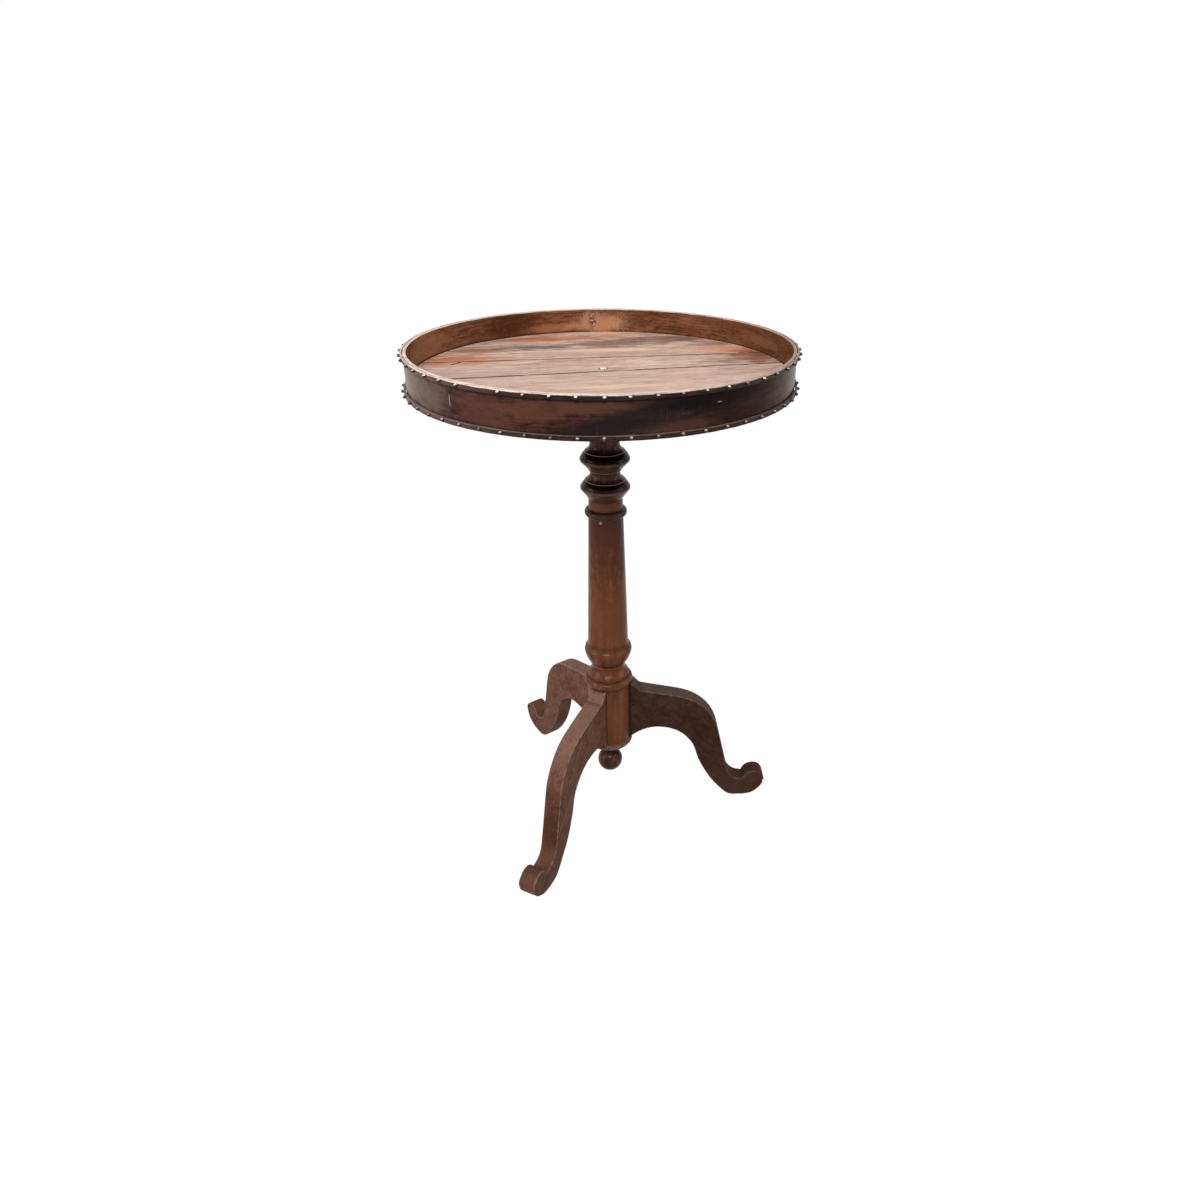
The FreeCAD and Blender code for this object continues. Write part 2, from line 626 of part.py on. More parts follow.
def leg_outline(root_top):
    """The S-shaped side of a leg, from the root over shoulder and roll to sole and arch."""
    place = {name: (reach * sizes.leg_reach, rise * root_top)
             for name, (reach, rise) in LEG_SHARES.items()}

    def bend(name):
        return place[name] + ("by",)

    return [
        (leg_seat, root_top), place["root_edge"], place["root_corner"],
        place["shoulder"] + (sizes.shoulder_round,), place["instep"] + (sizes.instep_round,),
        place["notch"], bend("roll_top"), place["roll_end"], bend("toe_bend"),
        (place["sole_toe"][0], ZERO), (place["sole_heel"][0], ZERO), bend("heel_bend"),
        place["heel"], bend("shin_bend"), place["arch_end"], bend("arch_top"),
        (leg_seat, disc_top)]


def upper_edges(pad, sketch, root_top, half_thickness):
    """The long edges over a leg, from the root's corner to the scroll, on both of its sides."""
    reach = sizes.leg_reach.value
    first, last = LEG_SHARES["root_corner"][0] * reach, LEG_SHARES["notch"][0] * reach
    tolerance = sizes.fit_clearance.value
    chain = []
    for edge in sketch.Shape.Edges:
        middle = edge.valueAt(0.5 * sum(edge.ParameterRange))
        ends = [vertex.Point.x for vertex in edge.Vertexes]
        over = middle.x / reach + middle.z / root_top > 0.9
        if over and min(ends) > first - tolerance and max(ends) < last + tolerance:
            chain.append(middle)
    names = []
    for number, edge in enumerate(pad.Shape.Edges, start=1):
        middle = edge.valueAt(0.5 * sum(edge.ParameterRange))
        beside = FreeCAD.Vector(middle.x, 0, middle.z)
        on_side = abs(abs(middle.y) - half_thickness) < tolerance
        if on_side and any(beside.distanceToPoint(target) < tolerance for target in chain):
            names.append(f"Edge{number}")
    return names


def make_leg(label, turn):
    """One leg: a sawn S-shape with a scroll foot and a dovetail tongue on its root."""
    body = doc.addObject("PartDesign::Body", label)
    root_top = ring_bottom - sizes.fit_clearance
    sketch = new_sketch(body, f"{label}_outline", "XZ_Plane")
    draw_outline(sketch, leg_outline(root_top))
    pad = body.newObject("PartDesign::Pad", f"{label}_pad")
    pad.Profile = sketch
    pad.SideType = "Symmetric"
    bind(pad, "Length", sizes.leg_thickness)
    doc.recompute()
    arris = body.newObject("PartDesign::Chamfer", f"{label}_arris")
    arris.Base = (pad, upper_edges(pad, sketch, root_top.value, half_leg.value))
    bind(arris, "Size", sizes.leg_arris)
    doc.recompute()
    plan = new_sketch(body, f"{label}_tongue_plan", "XY_Plane")
    bind(plan, "AttachmentOffset.Base.z", disc_top)
    back = leg_seat - sizes.tongue_depth
    draw_outline(plan, [
        (back, 0.5 * sizes.tongue_back), (back, -0.5 * sizes.tongue_back),
        (leg_seat, -0.5 * sizes.tongue_neck), (leg_seat, 0.5 * sizes.tongue_neck)])
    tongue = body.newObject("PartDesign::Pad", f"{label}_tongue")
    tongue.Profile = plan
    bind(tongue, "Length", root_top - disc_top)
    for item in (sketch, plan):
        item.Visibility = False
    turn_about_column(body, "Placement", turn)
    return body


screw_holes = screw_solids("screw_hole", sizes.fit_clearance)
pin_hole = pin_shank("pin_hole", sizes.fit_clearance, sizes.cut_overrun)
middle_of_band = 0.5 * sizes.band_height

pieces = [
    make_hoop(),
    make_band("upper_band", sizes.table_height - sizes.band_height),
    make_band("lower_band", hoop_bottom),
    make_band_nails("upper_band_nails", sizes.table_height - middle_of_band, LOST_UPPER_NAILS),
    make_band_nails("lower_band_nails", hoop_bottom + middle_of_band, ()),
    *make_tray_floor(screw_holes),
    make_centre_nail(),
    make_bearer(screw_holes),
    screw_solids("bearer_screws", ZERO),
    make_capital(pin_hole),
    make_pin(),
    make_shaft(pin_hole),
    *[make_leg(label, turn) for label, turn in leg_turns.items()],
    make_disc(),
    make_finial(),
]
doc.recompute()

for item in doc.Objects:
    if "Invalid" in item.State or "Error" in item.State:
        raise ValueError(f"{item.Label} failed: {item.State}")
for item in pieces:
    if item.Shape.isNull() or not item.Shape.isValid():
        raise ValueError(f"{item.Label} has no valid shape")

os.makedirs("parts", exist_ok=True)
for item in pieces:
    item.Shape.exportStep(f"parts/{item.Label}.step")
    box = item.Shape.optimalBoundingBox()
    print(f"{item.Label}: {len(item.Shape.Solids)} solids, {item.Shape.Volume:.0f} mm3, "
          f"z {box.ZMin:.1f} to {box.ZMax:.1f}")
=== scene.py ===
import math

import bpy
import numpy as np
from mathutils import Matrix, Vector


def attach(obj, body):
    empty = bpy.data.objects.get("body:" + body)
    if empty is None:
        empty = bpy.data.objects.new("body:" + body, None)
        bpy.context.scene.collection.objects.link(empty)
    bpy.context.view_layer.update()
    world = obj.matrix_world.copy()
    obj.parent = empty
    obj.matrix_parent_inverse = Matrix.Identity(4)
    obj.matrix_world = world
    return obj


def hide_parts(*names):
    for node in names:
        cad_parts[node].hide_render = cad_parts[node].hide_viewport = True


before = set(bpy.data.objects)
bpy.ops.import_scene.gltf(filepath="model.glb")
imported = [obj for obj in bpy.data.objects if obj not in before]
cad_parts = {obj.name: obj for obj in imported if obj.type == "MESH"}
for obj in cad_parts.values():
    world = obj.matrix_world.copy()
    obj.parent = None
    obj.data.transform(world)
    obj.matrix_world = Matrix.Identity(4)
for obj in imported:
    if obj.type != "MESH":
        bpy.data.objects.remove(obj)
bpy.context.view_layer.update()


# ---- The tray's floor
# Three old boards lie side by side, run left to right and meet in two seams that aren't parallel.
# They are worn pale and grey in the middle and keep an orange tone at the back and sides.

FLOOR_TOP = 0.687
FLOOR_BOTTOM = 0.6715
FLOOR_RADIUS = 0.2377


def swung(x, y, z, turn):
    """Points (x, y, z) swung round the third axis by a turn in radians."""
    return np.stack(np.broadcast_arrays(x * np.cos(turn) - y * np.sin(turn),
                                        x * np.sin(turn) + y * np.cos(turn), z), -1)


def skin(name, grid, ring=False, marks=None, sharp=35):
    """A closed mesh over a grid of points whose rows are closed loops, or over a stack of grids.

    Point j of row i joins point j + 1 of that row and point j of row i + 1. With ring the last
    row joins the first, and otherwise a fan to its middle point closes each end row. marks are
    values or vectors for each point that materials read, and edges over sharp degrees stay crisp.
    """
    rows, across = grid.shape[-3:-1]
    points = grid.reshape(-1, 3)
    here = np.arange(len(points)).reshape(-1, rows, across)
    beside = np.roll(here, -1, axis=2)
    marks = {key: mark.reshape(len(points), -1) for key, mark in (marks or {}).items()}
    if ring:
        quads = np.stack([here, beside, np.roll(beside, -1, 1), np.roll(here, -1, 1)], -1)
        fans = np.zeros((0, 3), int)
    else:
        quads = np.stack([here[:, :-1], beside[:, :-1], beside[:, 1:], here[:, 1:]], -1)
        first = len(points) + np.arange(len(here))[:, None] + 0 * here[:, 0]
        last = first + len(here)
        fans = np.concatenate([np.stack([first, beside[:, 0], here[:, 0]], -1),
                               np.stack([last, here[:, -1], beside[:, -1]], -1)]).reshape(-1, 3)
        ends = np.concatenate([here[:, 0], here[:, -1]])
        points = np.vstack([points, points[ends].mean(1)])
        marks = {key: np.vstack([mark, mark[ends].mean(1)]) for key, mark in marks.items()}
    quads = quads.reshape(-1, 4)
    # The shape's volume comes out negative where the faces look inwards.
    volume = sum(np.einsum("ij,ij->", points[first], np.cross(points[second], points[third]))
                 for first, second, third in (quads.T[:3], quads.T[[0, 2, 3]], fans.T))
    if volume < 0:
        quads, fans = quads[:, ::-1], fans[:, ::-1]
    mesh = bpy.data.meshes.new(name)
    mesh.from_pydata(points.tolist(), [], quads.tolist() + fans.tolist())
    for key, mark in marks.items():
        kind, field = ("FLOAT_VECTOR", "vector") if mark.shape[1] == 3 else ("FLOAT", "value")
        attribute = mesh.attributes.new(key, kind, "POINT")
        attribute.data.foreach_set(field, mark.astype(np.float32).ravel())
    mesh.shade_smooth()
    mesh.set_sharp_from_angle(angle=math.radians(sharp))
    piece = bpy.data.objects.new(name, mesh)
    bpy.context.scene.collection.objects.link(piece)
    return piece


def stand_for(piece, finish, slot, *nodes):
    """Gives a piece its material and puts it in the place of its CAD nodes."""
    piece.data.materials.append(finish.material)
    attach(piece, "root")
    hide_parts(*nodes)


def scaled(colour, share, more=0.0):
    """A colour times a share, with some grey added."""
    return [part * share + more for part in colour]


class Paint:
    """A number, vector or colour inside a material, so that shader maths reads as arithmetic."""

    def __init__(self, finish, socket):
        self.finish = finish
        self.socket = socket

    def maths(self, operation, *others):
        """This number in a sum with others."""
        return self.finish.node("Math", {"operation": operation}, dict(enumerate((self, *others))))

    def __add__(self, other):
        return self.maths("ADD", other)

    def __sub__(self, other):
        return self.maths("SUBTRACT", other)

    def __rsub__(self, other):
        return self * -1 + other

    def __mul__(self, other):
        return self.maths("MULTIPLY", other)

    __radd__ = __add__
    __rmul__ = __mul__

    def step(self, low, high):
        """A soft step: 0 where this number is under low, 1 where it is over high."""
        return self.finish.node("MapRange", {"interpolation_type": "SMOOTHSTEP"},
                                {0: self, 1: low, 2: high})

    def hill(self, middle, reach):
        """1 where this number is at middle, falling to 0 at reach away from it."""
        return 1 - (self - middle).maths("ABSOLUTE").step(0.0, reach)

    def noise(self, sizes, detail, rough, shift=0.0):
        """Noise over this place, with spots as long as sizes says along each axis."""
        spot = self.finish.node("VectorMath", {"operation": "MULTIPLY_ADD"},
                                {0: self, 1: [1 / size for size in sizes], 2: [shift] * 3})
        return self.finish.node("TexNoise", None, {
            "Vector": spot, "Scale": 1.0, "Detail": detail, "Roughness": rough})

    def part(self, axis):
        """One number of this vector."""
        return self.finish.node("SeparateXYZ", None, {0: self}, axis)

    def under(self, share, over):
        """This colour with another laid over it by a share from 0 to 1."""
        return self.finish.mix(share, self, over)


class Finish:
    """A material, or the world's light, that is built node by node and ends in one shader."""

    def __init__(self, name, owner=None, **fixed):
        self.material = owner or bpy.data.materials.new(name)
        self.material.use_nodes = True
        self.tree = self.material.node_tree
        self.shader = self.tree.nodes.get("Principled BSDF")
        for socket, value in fixed.items():
            self.shader.inputs[socket.replace("_", " ")].default_value = value

    def node(self, kind, settings=None, inputs=None, output=0):
        """Adds a node: its settings first, then the values or links of its sockets."""
        made = self.tree.nodes.new("ShaderNode" + kind)
        for key, value in (settings or {}).items():
            setattr(made, key, value)
        for key, value in (inputs or {}).items():
            if isinstance(value, Paint):
                self.tree.links.new(value.socket, made.inputs[key])
            else:
                made.inputs[key].default_value = value
        return Paint(self, made.outputs[output])

    def mark(self, name):
        """A vector that the mesh carries at each point."""
        return self.node("Attribute", {"attribute_name": name}, output=1)

    def level(self, name):
        """A number that the mesh carries at each point."""
        return self.node("Attribute", {"attribute_name": name}, output=2)

    def where(self):
        """The place in the object, in metres."""
        return self.node("TexCoord", output=3)

    def facing_up(self):
        """How far the surface faces up: 1 on top, 0 on a side and -1 below."""
        return self.node("NewGeometry", output=1).part(2)

    def mix(self, share, first, second):
        """One colour laid over another by a share from 0 to 1."""
        first, second = [colour if isinstance(colour, Paint) else (*colour, 1)
                         for colour in (first, second)]
        return self.node("Mix", {"data_type": "RGBA"}, {0: share, 6: first, 7: second}, 2)

    def show(self, shader, output):
        """Makes a shader the one that the output shows."""
        self.tree.links.new(shader.socket, self.tree.nodes[output].inputs["Surface"])

    def close(self, colour, roughness, height, depth=0.0004):
        """Feeds the shader: colour, roughness and a bump from a height of 0 to 1."""
        bump = self.node("Bump", None, {"Strength": 1.0, "Distance": depth, "Height": height})
        for socket, value in (("Base Color", colour), ("Roughness", roughness), ("Normal", bump)):
            self.tree.links.new(value.socket, self.shader.inputs[socket])
        return self


def patch(across, up, middle, reach, ragged):
    """1 inside an oval patch, falling to 0 at an edge that ragged moves in and out."""
    across, up = (across - middle[0]) * (1 / reach[0]), (up - middle[1]) * (1 / reach[1])
    return 1 - ((across * across + up * up).maths("SQRT") + ragged).step(0.3, 1.05)


def patches(colour, across, up, ragged, stains):
    """Lays stains over a colour: each a middle, a reach, a colour and a strength."""
    for middle, reach, stain, strength in stains:
        colour = colour.under(patch(across, up, middle, reach, ragged) * strength, stain)
    return colour


def wood(finish, dark, plain, pale, streak, shift, short=0.014, across=0.004, fine=0.3, pore=0.4):
    """The colour, fibre height and slow tone of old wood whose grain runs along lay's first axis.

    Long streaks, a short mottle, thin fibres and a slow tone add up to a lightness, which picks
    a colour from dark over plain to pale. Short dark pores lie over it.
    """
    lay = finish.mark("lay")
    streaks = lay.noise((0.12, streak, 1.6 * streak), 5.0, 0.7, shift).step(0.4, 0.6)
    mottle = lay.noise((short, across, across), 5.0, 0.72, shift + 5).step(0.41, 0.59)
    fibre = lay.noise((0.026, 0.0017, 0.0019), 4.0, 0.66, shift + 3).step(0.38, 0.62)
    pores = lay.noise((0.01, 0.0009, 0.0011), 2.0, 0.5, shift + 7).step(0.58, 0.7)
    tone = lay.noise((0.1, 0.028, 0.04), 3.0, 0.6, shift + 17).step(0.36, 0.64)
    light = streaks * 0.34 + mottle * 0.36 + (fibre - 0.5) * fine + tone * 0.3
    colour = finish.mix(light.step(0.1, 0.52), dark, plain)
    colour = colour.under(light.step(0.48, 0.9), pale)
    colour = colour.under(pores * pore, scaled(dark, 0.4))
    return colour, fibre * 0.45 + mottle * 0.35 - pores * 0.5 + 0.3, tone


def floor_board(name, near, near_degrees, far, far_degrees, cup):
    """One board of the floor, from one seam to the next or to the rim.

    Its rows lie on chords of the floor's circle, whose distance from the centre and whose turn
    change evenly from the near seam to the far one. Each row is a loop in the upright plane of
    its chord: along the top, down at the rim, back below. The top sinks as a quarter round at
    the seams, falls a little at the rim, and cups by a shallow arch across the board.
    """
    wide = abs(far - near)
    edge = np.array([0.0, 0.0004, 0.0009, 0.0016, 0.0026, 0.0042]) / wide
    inner = np.linspace(edge[-1], 1 - edge[-1], 40)[1:-1]
    shares = np.concatenate([edge, inner, 1 - edge[::-1]])[:, None]
    away = near + (far - near) * shares
    half = np.sqrt(np.maximum(FLOOR_RADIUS ** 2 - away ** 2, 1e-9))
    along_chord = np.sin(np.linspace(-1, 1, 121) * math.pi / 2)
    flat = swung(along_chord * half, away, 0.0,
                 np.radians(near_degrees + (far_degrees - near_degrees) * shares))
    off_seams = [shares * wide]
    if abs(far) < 0.9 * FLOOR_RADIUS:
        off_seams.append(off_seams[0][::-1])
    sink = 0.0008 * np.clip(1 - (FLOOR_RADIUS - np.linalg.norm(flat, axis=-1)) / 0.0015, 0, 1) ** 2
    for off in off_seams:
        sink = sink + 0.0011 * (1 - np.sqrt(1 - np.clip(1 - off / 0.0018, 0, 1) ** 2))
    sink = sink + cup * (1 - np.sin(math.pi * shares))
    top, bottom = flat.copy(), flat[:, ::-1].copy()
    top[..., 2], bottom[..., 2] = FLOOR_TOP - 0.00005 - sink, FLOOR_BOTTOM + 0.0001
    grid = np.concatenate([top, bottom], axis=1)
    seam = np.clip(1 - np.minimum(off_seams[0], off_seams[-1]) / 0.004, 0, 1)
    lay = swung(*np.moveaxis(grid, -1, 0), -math.radians(0.5 * (near_degrees + far_degrees)))
    return skin(name, grid, marks={"lay": lay, "seam": np.repeat(seam, grid.shape[1], 1)})


FLOOR_STAINS = (
    ((-0.18, 0.0), (0.07, 0.04), (0.52, 0.35, 0.285), 0.5),
    ((-0.186, 0.074), (0.084, 0.042), (0.49, 0.155, 0.045), 0.92),
    ((-0.168, 0.126), (0.056, 0.022), (0.29, 0.11, 0.055), 0.85),
    ((-0.088, 0.138), (0.074, 0.022), (0.14, 0.088, 0.072), 0.92),
    ((0.01, 0.148), (0.095, 0.034), (0.22, 0.13, 0.098), 0.95),
    ((0.09, 0.168), (0.095, 0.034), (0.165, 0.085, 0.058), 0.9),
    ((-0.07, 0.192), (0.125, 0.019), (0.47, 0.14, 0.03), 0.96),
    ((0.015, 0.223), (0.07, 0.011), (0.75, 0.46, 0.3), 0.85),
    ((-0.04, 0.09), (0.14, 0.024), (0.5, 0.32, 0.22), 0.7),
    ((0.02, 0.109), (0.09, 0.013), (0.8, 0.53, 0.35), 0.9),
    ((0.168, 0.132), (0.06, 0.022), (0.28, 0.105, 0.056), 0.6),
    ((0.176, 0.091), (0.08, 0.022), (0.76, 0.3, 0.135), 0.88),
    ((0.21, 0.046), (0.055, 0.06), (0.22, 0.062, 0.022), 0.96),
    ((0.15, 0.021), (0.046, 0.009), (0.19, 0.115, 0.092), 0.75),
    ((0.03, -0.089), (0.095, 0.012), (0.88, 0.61, 0.4), 0.85),
    ((-0.01, -0.125), (0.12, 0.02), (0.45, 0.29, 0.22), 0.45),
)


def floor_finish(name, shift):
    """Old polished boards: grey where worn, partly a painted sheen; orange and brown in places at
    the back.
    """
    finish = Finish(name, Specular_IOR_Level=0.05)
    x, y, z = map(finish.where().part, range(3))
    lay = finish.mark("lay")
    colour, height, tone = wood(finish, (0.35, 0.215, 0.165), (0.6, 0.415, 0.335),
                                (0.77, 0.575, 0.47), 0.0036, shift, 0.024, 0.0028, 0.6)
    ragged = lay.noise((0.04, 0.0075, 0.03), 6.0, 0.74, shift + 31) * 3.2 - 1.6
    colour = patches(colour, x, y - x * 0.115, ragged, FLOOR_STAINS)
    # The front is worn more evenly. Thin dark streaks and pale ones run along the grain.
    lively = y.step(-0.06, 0.08)
    colour = colour.under((1 - lively) * 0.45, (0.53, 0.37, 0.3))
    streaks = lay.noise((0.06, 0.0022, 0.01), 5.0, 0.72, shift + 51)
    colour = colour.under(streaks.step(0.55, 0.61) * (lively * 0.22 + 0.28), (0.2, 0.105, 0.07))
    pale_streaks = (1 - streaks.step(0.39, 0.45)) * (lively * 0.22 + 0.2)
    colour = colour.under(pale_streaks, (0.86, 0.66, 0.52))
    # Dirt in the seams, and one short crack that runs out from the back seam on the left.
    gap = lay.noise((0.03, 0.03, 0.03), 4.0, 0.65, 57.0)
    seam = finish.level("seam").step(0.3, 0.72) * (gap.step(0.36, 0.52) * 0.45 + 0.55)
    crack_off = ((x + 0.189) * 0.844 - (y - 0.033) * 0.537).maths("ABSOLUTE")
    crack_run = ((x + 0.189) * 0.537 + (y - 0.033) * 0.844).maths("ABSOLUTE")
    crack = (1 - crack_off.step(0.0008, 0.0024)) * (1 - crack_run.step(0.008, 0.014))
    colour = colour.under(seam.maths("MAXIMUM", crack) * 0.92, (0.03, 0.015, 0.011))
    # A ring of painted shadow round the nail, and painted shade with dirt at the hoop on the left.
    angle = y.maths("ARCTAN2", x) * (180 / math.pi)
    rim = (x * x + y * y).maths("SQRT")
    colour = colour.under(rim.hill(0.0046, 0.0032) * 0.85, (0.045, 0.024, 0.018))
    broken = finish.where().noise((0.009, 0.009, 0.02), 3.0, 0.6)
    hoop_shade_and_dirt = (rim + broken * 0.004).step(0.2362, 0.2384)
    colour = colour.under(hoop_shade_and_dirt * angle.hill(150.0, 34.0) * 0.9, (0.03, 0.016, 0.012))
    # A pale line at the back is a painted highlight on the edge, partly wear.
    wear_and_painted_light = rim.step(0.2352, 0.2362) * (broken - (90 - angle) * 0.0022).step(0.28, 0.36)
    wear_and_painted_light = wear_and_painted_light * angle.step(8.0, 30.0) * (1 - angle.step(108.0, 122.0))
    colour = colour.under(wear_and_painted_light, (0.88, 0.68, 0.52))
    # Below, the boards are dry and were never polished.
    below = 1 - z.step(FLOOR_BOTTOM + 0.001, FLOOR_BOTTOM + 0.004)
    dry = finish.mix(tone, (0.105, 0.06, 0.036), (0.19, 0.12, 0.078))
    dry = dry.under(streaks.step(0.52, 0.6) * 0.4, (0.06, 0.034, 0.022))
    colour = colour.under(below, dry)
    smudge = lay.noise((0.05, 0.02, 0.03), 4.0, 0.65, shift + 61)
    return finish.close(colour, smudge * 0.25 + 0.32 + below * 0.3, height, 0.00022)


BACK_SEAM, BACK_TURN = 0.064, 6.7
FRONT_SEAM, FRONT_TURN = -0.0123, 10.5
HALF_GAP = 0.00022
boards = (
    ("board_back", "floor_board_back", BACK_SEAM + HALF_GAP, BACK_TURN, FLOOR_RADIUS,
     BACK_TURN, 0.00035, 0.0),
    ("board_middle", "floor_board_middle", FRONT_SEAM + HALF_GAP, FRONT_TURN,
     BACK_SEAM - HALF_GAP, BACK_TURN, 0.00025, 5.0),
    ("board_front", "floor_board_front", FRONT_SEAM - HALF_GAP, FRONT_TURN,
     -FLOOR_RADIUS, FRONT_TURN, 0.0003, 9.0),
)
for name, node, near, near_turn, far, far_turn, cup, shift in boards:
    board = floor_board(name, near, near_turn, far, far_turn, cup)
    stand_for(board, floor_finish(name, shift), "tray_floor_wood", node)


# ---- The hoop
# A thin board is bent round the floor and its ends are lapped. Outside it is dark, with a sheen
# painted on the left and a black stain in front; inside it is golden brown with a knot at the back.

HOOP_RADIUS = 0.2424
HOOP_WALL = 0.0044
HOOP_BOTTOM, HOOP_TOP = FLOOR_BOTTOM, 0.72
LAP_DEGREES = -132.0
NAILS_ROUND = 56


def rounded_box_loop(left, right, low, high, rounding, sides, ends):
    """Points (r, z) round a box with rounded corners, anticlockwise from its lower right."""
    quarter = np.linspace(0, math.pi / 2, 5)
    up = np.linspace(low + rounding, high - rounding, sides + 1)[1:-1]
    over = np.linspace(right - rounding, left + rounding, ends + 1)[1:-1]
    r, z = [], []
    for middle_r, middle_z, start, run_r, run_z in (
            (right - rounding, low + rounding, -math.pi / 2, np.full(up.shape, right), up),
            (right - rounding, high - rounding, 0.0, over, np.full(over.shape, high)),
            (left + rounding, high - rounding, math.pi / 2, np.full(up.shape, left), up[::-1]),
            (left + rounding, low + rounding, math.pi, over[::-1], np.full(over.shape, low))):
        r += [middle_r + rounding * np.cos(quarter + start), run_r]
        z += [middle_z + rounding * np.sin(quarter + start), run_z]
    return np.concatenate(r), np.concatenate(z)


def round_hoop(name, r, z, angles, push, **marks):
    """A closed loop of (r, z) carried round the tray, with a push outwards for each point."""
    turn, radius = angles[:, None], r + push
    lay = np.stack(np.broadcast_arrays(turn * HOOP_RADIUS, z, radius), -1)
    return skin(name, swung(radius, 0.0, z, turn), ring=True, marks={"lay": lay, **marks})


hoop_r, hoop_z = rounded_box_loop(HOOP_RADIUS - HOOP_WALL, HOOP_RADIUS, HOOP_BOTTOM, HOOP_TOP,
                                  0.0007, 14, 3)
hoop_angles = np.radians(np.concatenate([
    np.linspace(LAP_DEGREES - 0.5, LAP_DEGREES + 0.5, 21)[:-1],
    np.linspace(LAP_DEGREES + 0.5, LAP_DEGREES + 359.5, 360, endpoint=False)]))
# The lapped end stands out by a hair on one side of its joint, and the bend is a little uneven.
off_lap = np.angle(np.exp(1j * (hoop_angles - math.radians(LAP_DEGREES))))
step_out = 0.0004 * np.exp(-(off_lap / 0.1) ** 2) * (off_lap > 0)
seam = -0.0006 * np.exp(-(off_lap / 0.0012) ** 2)
wave = 0.00012 * (np.sin(5 * hoop_angles + 0.6) + np.sin(11 * hoop_angles + 2.0))
hoop_push = np.where(hoop_r > HOOP_RADIUS - 0.5 * HOOP_WALL,
                     (seam - 0.00045 + step_out + wave)[:, None], wave[:, None])
hoop = round_hoop("hoop", hoop_r, hoop_z, hoop_angles, hoop_push)


# The first two patches are a sheen painted on the left; the last is dust and painted sheen at the
# right end.
OUTSIDE_STAINS_AND_SHEEN = (
    ((-164, 0.697), (26, 0.05), (0.158, 0.104, 0.086), 0.8),
    ((-168, 0.697), (9, 0.06), (0.18, 0.12, 0.098), 0.7),
    ((-154, 0.7), (9, 0.03), (0.15, 0.072, 0.056), 0.55),
    ((-142, 0.697), (12, 0.03), (0.118, 0.072, 0.058), 0.75),
    ((-121, 0.694), (13, 0.03), (0.078, 0.03, 0.021), 0.65),
    ((-109, 0.699), (11, 0.016), (0.095, 0.034, 0.018), 0.65),
    ((-94, 0.706), (16, 0.0095), (0.086, 0.035, 0.02), 0.75),
    ((-72, 0.682), (18, 0.0095), (0.066, 0.029, 0.02), 0.85),
    ((-50, 0.696), (18, 0.04), (0.012, 0.0034, 0.0022), 0.8),
    ((-21, 0.702), (11, 0.045), (0.07, 0.048, 0.042), 0.6),
)
INSIDE_STAINS = (
    ((166, 0.7), (20, 0.04), (0.29, 0.125, 0.064), 0.75),
    ((124, 0.704), (17, 0.022), (0.066, 0.0165, 0.0065), 0.9),
    ((109, 0.694), (13, 0.008), (0.33, 0.135, 0.06), 0.75),
    ((91, 0.699), (13, 0.02), (0.44, 0.215, 0.11), 0.85),
    ((40, 0.713), (16, 0.006), (0.1, 0.038, 0.019), 0.75),
    ((22, 0.701), (15, 0.009), (0.24, 0.108, 0.052), 0.65),
    ((79.3, 0.702), (2.4, 0.012), (0.085, 0.045, 0.03), 0.65),
)


